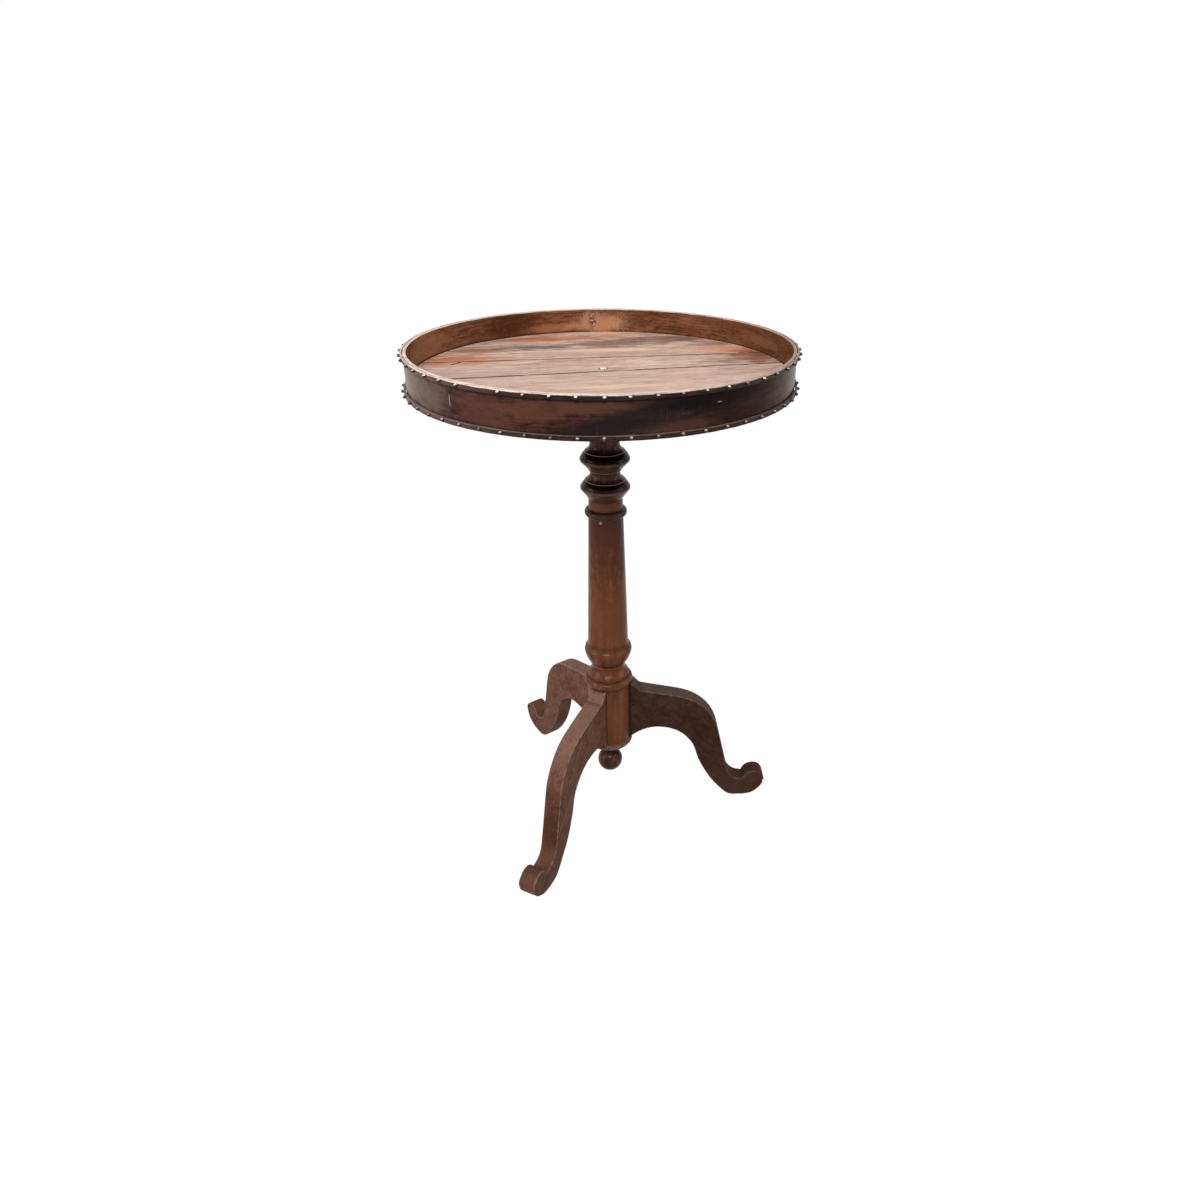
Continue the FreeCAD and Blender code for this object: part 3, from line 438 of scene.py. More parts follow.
def hoop_finish():
    """Bent wood: one tone outside and another inside, told apart by the distance to the axis."""
    finish = Finish("hoop_finish", Specular_IOR_Level=0.0, Coat_Weight=0.75, Coat_IOR=1.18,
                    Coat_Roughness=0.22)
    x, y, z = map(finish.where().part, range(3))
    lay = finish.mark("lay")
    angle = y.maths("ARCTAN2", x) * (180 / math.pi)
    radius = (x * x + y * y).maths("SQRT")
    ragged = lay.noise((0.018, 0.01, 0.05), 5.0, 0.66, 23.0) * 1.5 - 0.75
    outer, height, _ = wood(finish, (0.019, 0.0068, 0.005), (0.04, 0.0145, 0.0098),
                            (0.072, 0.028, 0.018), 0.006, 20.0, 0.012, 0.006, 0.4)
    # Outside the angle runs from -270 to 90 and inside from -90 to 270, so that no stain is cut.
    front = angle - angle.maths("GREATER_THAN", 90.0) * 360
    rear = angle + angle.maths("LESS_THAN", -90.0) * 360
    outer = patches(outer, front, z, ragged, OUTSIDE_STAINS_AND_SHEEN)
    # A black stain leans over the front, and two small knots sit right of it.
    slant = angle - (z - 0.69) * 735 + ragged * 5
    lean = slant.step(-100.0, -90.0) * (1 - slant.step(-82.0, -62.0))
    over = patch(angle, z, (-62, 0.706), (19, 0.015), ragged * 0.5)
    outer = outer.under(lean * 0.88, (0.011, 0.0072, 0.0082))
    outer = outer.under(over * 0.9, (0.0035, 0.0013, 0.0013))
    for middle, reach in (((-66.5, 0.694), (1.6, 0.0034)), ((-57.5, 0.683), (1.4, 0.0026))):
        knot = patch(angle, z, middle, reach, ragged * 0.4) * 0.85
        outer = outer.under(knot, (0.006, 0.004, 0.004))
    # Fine scratches, mostly upright, and two longer ones.
    fine = lay.noise((0.0007, 0.016, 0.05), 3.0, 0.6, 37.0)
    outer = outer.under(fine.step(0.6, 0.72) * ragged.step(-0.3, 0.5) * 0.35, (0.2, 0.145, 0.125))
    for middle, reach in (((-132.4, 0.6975), (0.3, 0.0085)), ((-60.0, 0.7026), (0.9, 0.0011))):
        outer = outer.under(patch(angle, z, middle, reach, 0.0) * 0.7, (0.3, 0.235, 0.215))
    # Painted shade below the upper band, darker under each of its nails, with some dirt.
    beside_nail = ((angle + 90) * (NAILS_ROUND * math.pi / 180)).maths("COSINE")
    darkened = beside_nail.step(0.62, 0.98) * z.step(0.7085, 0.7125)
    outer = outer.under(darkened.maths("MAXIMUM", z.step(0.7118, 0.7132)) * 0.75, (0.012, 0.007, 0.006))
    # Inside: golden brown that darkens to the left, with a dark joint and a knot at the back.
    inner, _, _ = wood(finish, (0.078, 0.026, 0.0105), (0.138, 0.048, 0.0205),
                       (0.205, 0.08, 0.037), 0.0034, 27.0, fine=0.46)
    inner = patches(inner, rear, z, ragged * 0.8, INSIDE_STAINS)
    inner = inner.under(angle.hill(14.0, 52.0) * 0.4, (0.074, 0.028, 0.012))
    bright = patch(angle, z, (90, 0.7), (15, 0.026), 0.0)
    dashes = lay.noise((0.0009, 0.0035, 0.01), 4.0, 0.7, 29.0)
    inner = inner.under(dashes.step(0.55, 0.66) * (bright * 0.55 + 0.16), (0.56, 0.33, 0.2))
    inner = inner.under(dashes.step(0.45, 0.34) * 0.5, (0.05, 0.02, 0.011))
    # The knot: a dark ragged crack with pale splits beside it.
    run_off = (angle - 93.6) * (math.pi / 180 * HOOP_RADIUS)
    knot_rough = lay.noise((0.0045, 0.0035, 0.01), 4.0, 0.68, 3.0)
    knot_away = (run_off * run_off + (z - 0.705) * (z - 0.705) * 0.25).maths("SQRT")
    knot = 1 - (knot_away + knot_rough * 0.01).step(0.0055, 0.0135)
    knot_tone = finish.mix(knot_rough.step(0.5, 0.6), (0.022, 0.014, 0.011), (0.52, 0.35, 0.25))
    inner = inner.under(knot * 0.9, knot_tone)
    # Painted shade with dirt where the hoop meets the floor, but not at the back.
    foot = (1 - z.step(0.6872, 0.6884)) * (1 - angle.hill(84.0, 34.0))
    inner = inner.under(foot * 0.8, (0.022, 0.012, 0.009))
    colour = inner.under(radius.step(0.2396, 0.2406), outer)
    # The worn top edge is bare and pale.
    rim = z.step(0.719, 0.7197)
    bare_noise = lay.noise((0.022, 0.003, 0.0012), 4.0, 0.65)
    bare = finish.mix(bare_noise.step(0.34, 0.6), (0.38, 0.25, 0.19), (0.79, 0.635, 0.54))
    bare = bare.under(angle.hill(-6.0, 80.0) * 0.95, (0.26, 0.145, 0.098))
    colour = colour.under(rim * 0.95, bare)
    scuffs = lay.noise((0.04, 0.008, 0.02), 4.0, 0.65, 33.0)
    return finish.close(colour, scuffs * 0.3 + 0.28, height, 0.00025)


stand_for(hoop, hoop_finish(), "hoop_wood", "tray_hoop")


# ---- The two bands
# A thin lath is nailed round the outside of the hoop along its top and another along its foot.
# Each nail pulls it in, so it bellies out by a hair between the nails.

BAND_THICKNESS = 0.0029
BAND_HEIGHT = 0.006
FRONT = -0.5 * math.pi


def band(name, low):
    """A lath round the hoop: the hoop's loop with a push that is least at each nail."""
    inner, outer = HOOP_RADIUS + 0.00012, HOOP_RADIUS + BAND_THICKNESS - 0.00005
    r, z = rounded_box_loop(inner, outer, low + 0.00005, low + BAND_HEIGHT - 0.00005, 0.0005, 3, 2)
    angles = np.linspace(-math.pi, math.pi, NAILS_ROUND * 10, endpoint=False)
    belly = 0.5 - 0.5 * np.cos(NAILS_ROUND * (angles - FRONT))
    push = -0.00028 * (1 - belly)[:, None]
    push = np.where(r > inner + 0.5 * BAND_THICKNESS, push, 0.5 * push + 0.00014)
    wear = np.clip((z - low) / BAND_HEIGHT, 0, 1) + 0 * push
    return round_hoop(name, r, z, angles, push, wear=wear)


def band_finish():
    """Dark stained lath, bare and pale on its top where hands rub it."""
    finish = Finish("band_finish", Specular_IOR_Level=0.1)
    x, y, z = map(finish.where().part, range(3))
    lay = finish.mark("lay")
    angle = y.maths("ARCTAN2", x) * (180 / math.pi)
    colour, height, tone = wood(finish, (0.009, 0.005, 0.004), (0.02, 0.01, 0.0075),
                                (0.04, 0.019, 0.014), 0.003, 41.0)
    # The face is painted lighter on the left, where the sheen falls on the hoop.
    left = (angle - angle.maths("GREATER_THAN", 90.0) * 360).hill(-160.0, 62.0)
    colour = colour.under(left * 0.85, (0.11, 0.07, 0.057))
    spots = lay.noise((0.02, 0.0035, 0.004), 4.0, 0.65, 43.0)
    on_top = (finish.level("wear") + (spots - 0.5) * 0.3).step(0.79, 0.89)
    bare = finish.mix(spots.step(0.34, 0.62), (0.4, 0.27, 0.21), (0.78, 0.615, 0.52))
    bare = bare.under(angle.hill(-6.0, 80.0) * 0.9, (0.24, 0.13, 0.088))
    # The lower band is rubbed far less than the upper one.
    pale_top = on_top * (z.step(0.69, 0.7) * 0.75 + 0.12)
    colour = colour.under(pale_top, bare)
    return finish.close(colour, tone * 0.2 + 0.34, height, 0.0002)


band_look = band_finish()
stand_for(band("band_upper", HOOP_TOP - BAND_HEIGHT), band_look, "band_wood", "upper_band")
stand_for(band("band_lower", HOOP_BOTTOM), band_look, "band_wood", "lower_band")


# ---- The nails of the bands
# Small forged nails hold the bands. Their heads are uneven domes of dark iron, with a pale
# reflection painted on top, most of all in front, and one of the upper row is lost.

NAIL_HALF, NAIL_TALL = 0.0023, 0.0036
UPPER_LEVEL, LOWER_LEVEL = HOOP_TOP - 0.0026, HOOP_BOTTOM + 0.003
LOST_NAIL = 51


def nail_heads(name, level, lost, seed):
    """Domes on the band: rings of 10 points that shrink and rise by a quarter round.

    Every head is shifted, stretched and dented a little by its own random numbers.
    """
    chance = np.random.default_rng(seed)
    angles = FRONT + np.arange(NAILS_ROUND) * 2 * math.pi / NAILS_ROUND
    angles = np.delete(angles, lost) + chance.normal(0, 0.0016, NAILS_ROUND - len(lost))
    each = (len(angles), 1, 1)
    rise = np.radians([0, 0, 22, 45, 66, 82])[:, None]
    spread, lift = np.cos(rise), 0.16 + 0.84 * np.sin(rise)
    spread[0], lift[0] = 0.8, 0.0
    facet_turn = np.arange(10) * math.pi / 5
    size = NAIL_HALF * chance.uniform(0.88, 1.0, each)
    tall = NAIL_TALL * chance.uniform(0.84, 0.99, each)
    wide = size * spread * (1 + chance.normal(0, 0.045, (len(angles), len(rise), 10)))
    upward = wide * np.sin(facet_turn) + level - np.abs(chance.normal(0, 0.00022, each))
    outward = HOOP_RADIUS + BAND_THICKNESS - 0.00035 + tall * lift
    grid = swung(outward, wide * np.cos(facet_turn), upward, angles[:, None, None])
    return skin(name, grid, sharp=180)


def iron_finish(name, base, polish):
    """Dark forged iron: rust-brown in the hollows, rubbed where hands and cloths reach."""
    finish = Finish(name, Metallic=0.85)
    where = finish.where()
    grains = where.noise((0.0009, 0.0009, 0.0009), 4.0, 0.6)
    spots = where.noise((0.004, 0.004, 0.004), 3.0, 0.6, 5.0)
    colour = finish.mix(spots.step(0.35, 0.65), base, scaled(base, 2.1))
    colour = colour.under(grains.step(0.56, 0.7) * 0.5, (0.06, 0.028, 0.016))
    return finish.close(colour, grains * 0.25 + polish, grains, 0.0002)


def nail_finish():
    """Dark iron with a pale reflection painted on the tops that face up, most of all in front."""
    finish = Finish("nail_iron", Specular_IOR_Level=0.25)
    where = finish.where()
    y, z = where.part(1), where.part(2)
    grains = where.noise((0.0008, 0.0008, 0.0008), 4.0, 0.6)
    up = finish.facing_up()
    upper = z.step(0.69, 0.7)
    spots = where.noise((0.03, 0.03, 0.006), 3.0, 0.6, 5.0)
    # A pale reflection is painted on the upward tops, most of all on the nails in front.
    front = (y * -1).step(0.085, 0.17) * (upper * 0.55 + 0.45) * spots.step(0.3, 0.55)
    pale_top = (up + (grains - 0.5) * 0.5).step(0.28, 0.66) * (front * 0.94 + 0.06)
    colour = finish.mix(grains, (0.012, 0.008, 0.007), (0.04, 0.026, 0.021))
    colour = colour.under(pale_top, (0.84, 0.68, 0.6))
    return finish.close(colour, grains * 0.25 + 0.24, grains, 0.0002)


nail_look = nail_finish()
stand_for(nail_heads("nails_upper", UPPER_LEVEL, [LOST_NAIL], 3), nail_look, "forged_iron",
          "upper_band_nails")
stand_for(nail_heads("nails_lower", LOWER_LEVEL, [], 4), nail_look, "forged_iron",
          "lower_band_nails")


# ---- The nail in the middle
# One larger round-headed nail goes through the floor into the column's tenon.

def turned(name, points, lay_shift=0.0, step=0.0004, around=144, soften=0.00022, wobble=0.0):
    """A turned piece: a profile of (radius, height) carried round the column's axis.

    The profile runs along lines, and along the arc through three points where the middle one is
    marked "by". It is sampled at even steps and softened by a narrow bell curve, so that its
    corners are as round as worn ones. relief marks how far a point stands over a more smoothed
    profile, from -1 in a groove to 1 on a crest, and arris the same for its sharpest corners.
    """
    line = even(outline(points), step)
    line = softened(line, soften / step)
    radius, height = line[:, 0], line[:, 1]
    relief = np.clip((radius - softened(line, 0.0026 / step)[:, 0]) / 0.001, -1, 1)
    arris = np.clip((radius - softened(line, 0.0007 / step)[:, 0]) / 0.00022, -1, 1)
    angles = np.linspace(0, 2 * math.pi, around, endpoint=False)
    uneven = 1 + wobble * np.sin(2 * angles[None, :] + 40 * height[:, None])
    grid = swung(radius[:, None] * uneven, 0.0, height[:, None], angles)
    marks = {key: np.repeat(mark[:, None], around, 1)
             for key, mark in (("relief", relief), ("arris", arris))}
    return skin(name, grid, marks={"lay": grid[..., [2, 0, 1]] + (0, lay_shift, 0), **marks})


def arc_through(first, middle, last):
    """Points on the circle through three points, from the first over the middle to the last."""
    a, b, c = (complex(*point[:2]) for point in (first, middle, last))
    w = (c - a) / (b - a)
    centre = (b - a) * (w - abs(w) ** 2) / (2j * w.imag) + a
    swing = [np.angle((later - centre) / (earlier - centre)) for earlier, later in ((a, b), (b, c))]
    if swing[0] * swing[1] < 0:
        largest = int(np.argmax(np.abs(swing)))
        swing[largest] -= math.copysign(2 * math.pi, swing[largest])
    turn = np.linspace(0, swing[0] + swing[1], 24)
    arc = centre + (a - centre) * np.exp(1j * turn)
    return np.stack([arc.real, arc.imag], -1)


def rounded_corner(before, corner, after, radius):
    """An arc of a radius that touches both lines of a corner."""
    before, corner, after = (np.array(point[:2]) for point in (before, corner, after))
    back = (before - corner) / np.linalg.norm(before - corner)
    ahead = (after - corner) / np.linalg.norm(after - corner)
    half = 0.5 * math.acos(float(back @ ahead))
    reach = radius / math.tan(half)
    inward = (back + ahead) / np.linalg.norm(back + ahead)
    middle = corner + inward * (radius / math.sin(half) - radius)
    return arc_through(corner + back * reach, middle, corner + ahead * reach)


def outline(points):
    """The corners of an outline with its arcs and rounded corners filled in."""
    run = []
    for place, point in enumerate(points):
        if len(point) == 3 and point[2] == "by":
            run.append(arc_through(points[place - 1], point, points[place + 1])[1:-1])
        elif len(point) == 3:
            run.append(rounded_corner(points[place - 1], point, points[place + 1], point[2]))
        else:
            run.append(np.array([point]))
    return np.concatenate(run)


def even(line, step):
    """The same line with its points at even steps of its length."""
    run = np.concatenate([[0], np.cumsum(np.hypot(*np.diff(line, axis=0).T))])
    spots = np.linspace(0, run[-1], max(int(run[-1] / step), 8))
    return np.stack([np.interp(spots, run, line[:, axis]) for axis in (0, 1)], -1)


def softened(line, width):
    """A line smoothed by a bell curve of that width in points, with its ends kept."""
    if width < 0.3:
        return line
    reach = int(3 * width) + 1
    bell = np.exp(-0.5 * (np.arange(-reach, reach + 1) / width) ** 2)
    bell /= bell.sum()
    before = 2 * line[:1] - line[reach:0:-1]
    after = 2 * line[-1:] - line[-2:-reach - 2:-1]
    long = np.concatenate([before, line, after])
    return np.stack([np.convolve(long[:, axis], bell, "valid") for axis in (0, 1)], -1)


CENTRE_HEAD, CENTRE_RISE, CENTRE_SHANK, CENTRE_LENGTH = 0.0044, 0.0026, 0.0018, 0.034
centre_nail = turned("nail_middle", [
    (0.0001, FLOOR_TOP - CENTRE_LENGTH), (CENTRE_SHANK, FLOOR_TOP - CENTRE_LENGTH + CENTRE_SHANK),
    (CENTRE_SHANK, FLOOR_TOP - 0.0004),
    (CENTRE_HEAD, FLOOR_TOP - 0.0004), (CENTRE_HEAD, FLOOR_TOP + 0.0002),
    (0.8 * CENTRE_HEAD, FLOOR_TOP + 0.72 * CENTRE_RISE, "by"), (0.0001, FLOOR_TOP + CENTRE_RISE)],
    step=0.0003, around=24, soften=0.0002)
stand_for(centre_nail, iron_finish("nail_middle_iron", (0.44, 0.38, 0.33), 0.3), "forged_iron",
          "centre_nail")


# ---- The bearer and its screws
# A bevelled board lies across the three boards of the floor and is screwed to them from below.
# It takes the tenon of the column. It is dry, unpolished wood.

BEARER_LOW, BEARER_HIGH = 0.6575, FLOOR_BOTTOM
BEARER_LENGTH, BEARER_WIDTH, BEARER_BEVEL = 0.39, 0.09, 0.005


def bearer():
    """A plank along Y: a bevelled cross-section carried from end to end.

    The cross-section is a box with its two lower corners cut off, and at both ends it draws in
    by the same bevel.
    """
    half, low, high = 0.5 * BEARER_WIDTH, BEARER_LOW, BEARER_HIGH
    inset = np.array([1.0, 0.92, 0.5, 0.08, 0.0])
    end = -0.5 * BEARER_LENGTH + BEARER_BEVEL * (1 - inset)
    places = np.concatenate([end, np.linspace(-0.18, 0.18, 60), -end[::-1]])[:, None]
    draw = np.concatenate([inset, np.zeros(60), inset[::-1]])[:, None]
    section = even(outline([
        (half - 0.0006, high), (-half + 0.0006, high), (-half, high - 0.0006),
        (-half, low + BEARER_BEVEL), (-half + BEARER_BEVEL, low), (half - BEARER_BEVEL, low),
        (half, low + BEARER_BEVEL), (half, high - 0.0006), (half - 0.0006, high)]), 0.0012)[:-1]
    bottom = np.clip((high - section[:, 1]) / (high - low), 0, 1)
    z = np.minimum(section[:, 1] + draw * BEARER_BEVEL * (bottom > 0.6), high)
    sawn = 0.00012 * np.abs(np.sin(places / 0.0011)) * (bottom > 0.95)
    grid = np.stack(np.broadcast_arrays(section[:, 0], places, z + sawn), -1)
    return skin("bearer", grid, marks={"lay": grid[..., [1, 0, 2]]})


def dry_wood_finish():
    """Sawn wood that was never polished: dull, a little dusty."""
    finish = Finish("dry_wood", Specular_IOR_Level=0.15)
    colour, height, tone = wood(finish, (0.13, 0.075, 0.045), (0.24, 0.15, 0.095),
                                (0.34, 0.23, 0.155), 0.006, 61.0)
    lay = finish.mark("lay")
    dust = lay.noise((0.06, 0.03, 0.03), 4.0, 0.6, 63.0)
    colour = colour.under(dust.step(0.45, 0.7) * 0.4, (0.3, 0.25, 0.2))
    return finish.close(colour, tone * 0.15 + 0.72, height)


stand_for(bearer(), dry_wood_finish(), "underside_wood", "tray_bearer")


SCREW_HEAD, SCREW_SHANK, SCREW_LENGTH = 0.0042, 0.0018, 0.022
SCREW_PLACES = [(side * 0.028, row) for row in (-0.15, 0.024, 0.15) for side in (-1, 1)]


def screws():
    """Six slotted screw heads, flush with the bearer, from one profile and its six places.

    A head is a flat disc whose points near the driver's slot are pushed in.
    """
    rings = np.linspace(SCREW_HEAD, 0.0004, 9)[:, None]
    turn = np.linspace(0, 2 * math.pi, 28, endpoint=False)
    flat = swung(rings, 0.0, BEARER_LOW, turn)
    shank = swung(SCREW_SHANK, 0.0, BEARER_LOW + np.array([[SCREW_LENGTH], [0.0028]]), turn)
    edge = 0.0003 * np.clip(rings ** 2 - 0.0038 ** 2, 0, None) / 3e-6
    pieces = []
    for number, (x, y) in enumerate(SCREW_PLACES):
        slot_turn = 0.9 * number + 0.4
        across = flat[..., 0] * math.cos(slot_turn) + flat[..., 1] * math.sin(slot_turn)
        face = flat.copy()
        face[..., 2] += 0.0009 * np.exp(-(across / 0.00045) ** 4) + edge
        pieces.append(skin(f"screw_{number + 1}", np.concatenate([shank, face]) + (x, y, 0)))
    return pieces


screw_look = iron_finish("screw_iron", (0.16, 0.14, 0.125), 0.34)
for screw in screws():
    stand_for(screw, screw_look, "forged_iron", "bearer_screws")


# ---- The capital
# Turned from one block: collar ring, neck, two bulbs with a step over each, a long neck that
# flares to the plate under the bearer, and a tenon. Its stain is nearly black on the bulbs.

JOINT = 0.4855
CAPITAL_HEIGHT = 0.172
BULB = 0.0338
PLATE = 0.038
SPIGOT, SPIGOT_LENGTH = 0.011, 0.028
TENON, TENON_LENGTH = 0.014, 0.0139
CORE = 0.0004
capital_shares = (
    (0.71, 0.0), (0.858, 0.03, "by"), (0.701, 0.064),
    (0.689, 0.134), (0.683, 0.15),
    (0.953, 0.225), (1.0, 0.242, "by"), (0.959, 0.257), (0.888, 0.281, "by"), (0.793, 0.3),
    (0.802, 0.3025), (0.798, 0.3055), (0.757, 0.308), (0.648, 0.331, "by"), (0.601, 0.361),
    (0.601, 0.375), (0.669, 0.386), (0.678, 0.395),
    (0.947, 0.455), (1.0, 0.475, "by"), (0.964, 0.491), (0.896, 0.515, "by"), (0.793, 0.535),
    (0.802, 0.5375), (0.798, 0.5405), (0.757, 0.543), (0.645, 0.566, "by"), (0.595, 0.596),
    (0.595, 0.619), (0.622, 0.77, "by"), (0.8, 0.898),
    (0.873, 0.905), (1.035, 0.933, "by"), (1.08, 0.965),
)


def shared(shares, radius, start, height):
    """Shares of a radius and of a height above a start, turned into metres."""
    return [(share[0] * radius, start + share[1] * height) + share[2:] for share in shares]


capital_line = shared(capital_shares, BULB, JOINT, CAPITAL_HEIGHT)
capital = turned("capital", [
    (CORE, JOINT - SPIGOT_LENGTH), (SPIGOT, JOINT - SPIGOT_LENGTH), (SPIGOT, JOINT), *capital_line,
    (PLATE, capital_line[-1][1]), (PLATE, BEARER_LOW), (TENON, BEARER_LOW),
    (TENON, BEARER_LOW + TENON_LENGTH), (CORE, BEARER_LOW + TENON_LENGTH)], wobble=0.002)


def turned_finish(name, dark, plain, pale, shift, dullness, zones=()):
    """Polished turned wood: darker grooves and concave corners, and highlights painted on the
    arrises, partly wear.

    zones are bands round the piece: a level and its reach in metres, a colour and a strength.
    """
    finish = Finish(name, Specular_IOR_Level=0.02, Coat_Weight=0.48, Coat_IOR=1.23,
                    Coat_Roughness=0.14)
    z = finish.where().part(2)
    lay = finish.mark("lay")
    colour, height, _ = wood(finish, dark, plain, pale, 0.009, shift, 0.018, 0.01, 0.12, 0.12)
    ripple = lay.noise((0.0022, 0.012, 0.012), 4.0, 0.66, shift + 13)
    colour = colour.under(ripple.step(0.5, 0.64) * 0.35, dark)
    ragged = lay.noise((0.018, 0.01, 0.01), 5.0, 0.68, shift + 5) * 1.2 - 0.6
    for level, reach, stain, strength in zones:
        share = 1 - (((z - level) * (1 / reach)).maths("ABSOLUTE") + ragged).step(0.1, 1.1)
        colour = colour.under(share * strength, stain)
    relief, arris = finish.level("relief"), finish.level("arris")
    rub = lay.noise((0.012, 0.012, 0.012), 4.0, 0.65, shift + 9)
    # Grooves and concave corners are darkened, and the sharp crests get a painted highlight, partly
    # wear.
    darkened = (relief * -1).step(0.1, 0.8).maths("MAXIMUM", (arris * -1).step(0.25, 0.9))
    colour = colour.under(darkened * 0.82, (0.008, 0.0045, 0.0035))
    bright = arris.step(0.12, 0.6) * rub.step(0.26, 0.46)
    colour = colour.under(bright * 0.8, scaled(pale, 1.5, 0.16))
    # Faint lines that the turning left round the piece.
    lathe = (z * 5200).maths("SINE") * 0.05
    return finish.close(colour, rub * 0.22 + dullness, height + lathe, 0.0001)


# A near-black for the black stain and for painted shade under and over the bulbs' steps,
# in the crease over the collar, and at the finial's neck.
DARK_STAIN_AND_SHADE = (0.006, 0.0014, 0.0013)
capital_look = turned_finish("capital_finish", (0.036, 0.013, 0.008), (0.064, 0.0245, 0.0155),
                             (0.1, 0.042, 0.028), 71.0, 0.24, (
    (0.554, 0.011, (0.098, 0.042, 0.029), 0.85), (0.506, 0.021, (0.12, 0.042, 0.023), 0.9),
    (0.5755, 0.015, DARK_STAIN_AND_SHADE, 1.0), (0.535, 0.0085, DARK_STAIN_AND_SHADE, 1.0),
    (0.5275, 0.005, (0.026, 0.0075, 0.005), 0.8),
    (0.4895, 0.011, (0.024, 0.0072, 0.004), 0.92), (0.4966, 0.001, DARK_STAIN_AND_SHADE, 0.8)))
stand_for(capital, capital_look, "capital_wood", "column_capital")


# ---- The pin under the collar
# A small nail through the shaft holds the capital's spigot.

PIN_TURN, PIN_LEVEL, PIN_HALF = math.radians(253), JOINT - 0.0032, 0.0023
pin_rise = np.radians([0, 0, 30, 60, 82])[:, None]
pin_spread, pin_out = PIN_HALF * np.cos(pin_rise), 0.02415 + 0.0011 * np.sin(pin_rise)
pin_spread[0], pin_out[0] = 0.5 * PIN_HALF, 0.02405
pin_round = np.arange(16) * math.pi / 8
pin = skin("pin", swung(pin_out, pin_spread * np.cos(pin_round),
                        pin_spread * np.sin(pin_round) + PIN_LEVEL, PIN_TURN))
stand_for(pin, iron_finish("pin_iron", (0.15, 0.11, 0.09), 0.38), "forged_iron", "capital_pin")


# ---- The shaft
# Turned from one length: tapered shaft, cup, waist, half-round ring, and the cylinder that
# takes the three legs in slots from below. The wood is a reddish brown.

DISC_TOP, RING_LOW, RING_HIGH, SHAFT_FOOT = 0.1165, 0.216, 0.2285, 0.288
CYLINDER, RING, CUP, SHAFT_WIDE, SHAFT_NARROW = 0.0317, 0.0354, 0.0344, 0.0292, 0.024
cup_shares = (
    (0.872, 0.013), (0.872, 0.03), (0.862, 0.084, "by"), (0.791, 0.143),
    (0.715, 0.21, "by"), (0.683, 0.294),
    (0.683, 0.336), (0.733, 0.353), (0.738, 0.387),
    (0.744, 0.392), (0.91, 0.555, "by"), (1.0, 0.723), (0.985, 0.807, "by"), (0.924, 0.866),
    (0.89, 0.879), (0.86, 0.916, "by"),
)
shaft = turned("shaft", [
    (CORE, DISC_TOP), (CYLINDER, DISC_TOP), (CYLINDER, RING_LOW),
    (RING, 0.5 * (RING_LOW + RING_HIGH), "by"), (0.89 * CUP, RING_HIGH),
    *shared(cup_shares, CUP, RING_HIGH, SHAFT_FOOT - RING_HIGH),
    (SHAFT_WIDE, SHAFT_FOOT), (SHAFT_NARROW, JOINT), (CORE, JOINT)], lay_shift=0.3, wobble=0.002)
shaft_look = turned_finish("shaft_finish", (0.072, 0.0205, 0.008), (0.108, 0.0325, 0.0135),
                           (0.155, 0.053, 0.024), 81.0, 0.24, (
    (0.475, 0.1, (0.056, 0.019, 0.0098), 0.95), (0.33, 0.07, (0.138, 0.043, 0.017), 0.6),
    (0.286, 0.005, (0.06, 0.02, 0.01), 0.55), (0.165, 0.06, (0.15, 0.045, 0.018), 0.6)))
stand_for(shaft, shaft_look, "shaft_wood", "column_shaft")


# ---- The legs
# Three boards sawn to an S and worked with a rasp: shoulder, shin and a foot that ends in a
# scroll. Their edges are eased and rubbed lighter, and the wood is dull.

LEG_REACH, LEG_RISE = 0.2435, 0.2159
LEG_HALF = 0.0125
LEG_SEAT = math.sqrt(CYLINDER ** 2 - LEG_HALF ** 2)
SCROLL = (0.2262, 0.0282)
leg_shares = {
    "root_edge": (0.143, 1.0), "root_corner": (0.186, 0.944), "shoulder": (0.6337, 0.8378),
    "instep": (0.7688, 0.1593), "notch": (0.8583, 0.1417), "roll_top": (0.9289, 0.2102),
    "roll_end": (1.0, 0.1306), "toe_bend": (0.969, 0.059), "sole_toe": (0.872, 0.0),
    "sole_heel": (0.81, 0.0), "heel_bend": (0.7694, 0.0116), "heel": (0.7355, 0.0398),
    "shin_bend": (0.617, 0.2134), "arch_end": (0.5438, 0.4157), "arch_top": (0.314, 0.6273),
}
spot = {key: (reach * LEG_REACH, rise * LEG_RISE) for key, (reach, rise) in leg_shares.items()}
over_line = even(outline([
    (LEG_SEAT, LEG_RISE), spot["root_edge"], spot["root_corner"], (*spot["shoulder"], 0.08),
    (*spot["instep"], 0.027), spot["notch"], (*spot["roll_top"], "by"), spot["roll_end"]]), 0.0004)
under_line = even(outline([
    (LEG_SEAT, DISC_TOP), (*spot["arch_top"], "by"), spot["arch_end"], (*spot["shin_bend"], "by"),
    spot["heel"], (*spot["heel_bend"], "by"), spot["sole_heel"], spot["sole_toe"],
    (*spot["toe_bend"], "by"), spot["roll_end"]]), 0.0004)
# Points of the upper line, and the points of the lower line that lie across the leg from them.
ACROSS = (
    ((29.1, 215.9), (29.1, 116.5)), ((34.7, 215.9), (35.2, 120)), ((45.3, 203.8), (46.3, 126)),
    ((74.5, 197.7), (72.4, 134)), ((103.6, 191.5), (95.6, 131.5)), ((130.8, 181), (112.7, 121)),
    ((150.9, 162), (124.8, 105)), ((165.6, 130.7), (134.8, 84)), ((176.1, 84), (142.9, 62)),
    ((184.1, 50), (152.9, 40)), ((191.2, 38.5), (164, 24)), ((201.2, 32.5), (179.1, 8.6)),
    ((209, 30.6), (195.2, 0.2)), ((212.3, 39), (204.3, 0)), ((219.4, 44), (212.3, 0)),
    ((229.4, 45), (219.4, 3)), ((238.5, 40), (227.4, 7)), ((242.1, 34), (235.5, 12.5)),
    ((243.5, 29), (242.5, 23)),
)


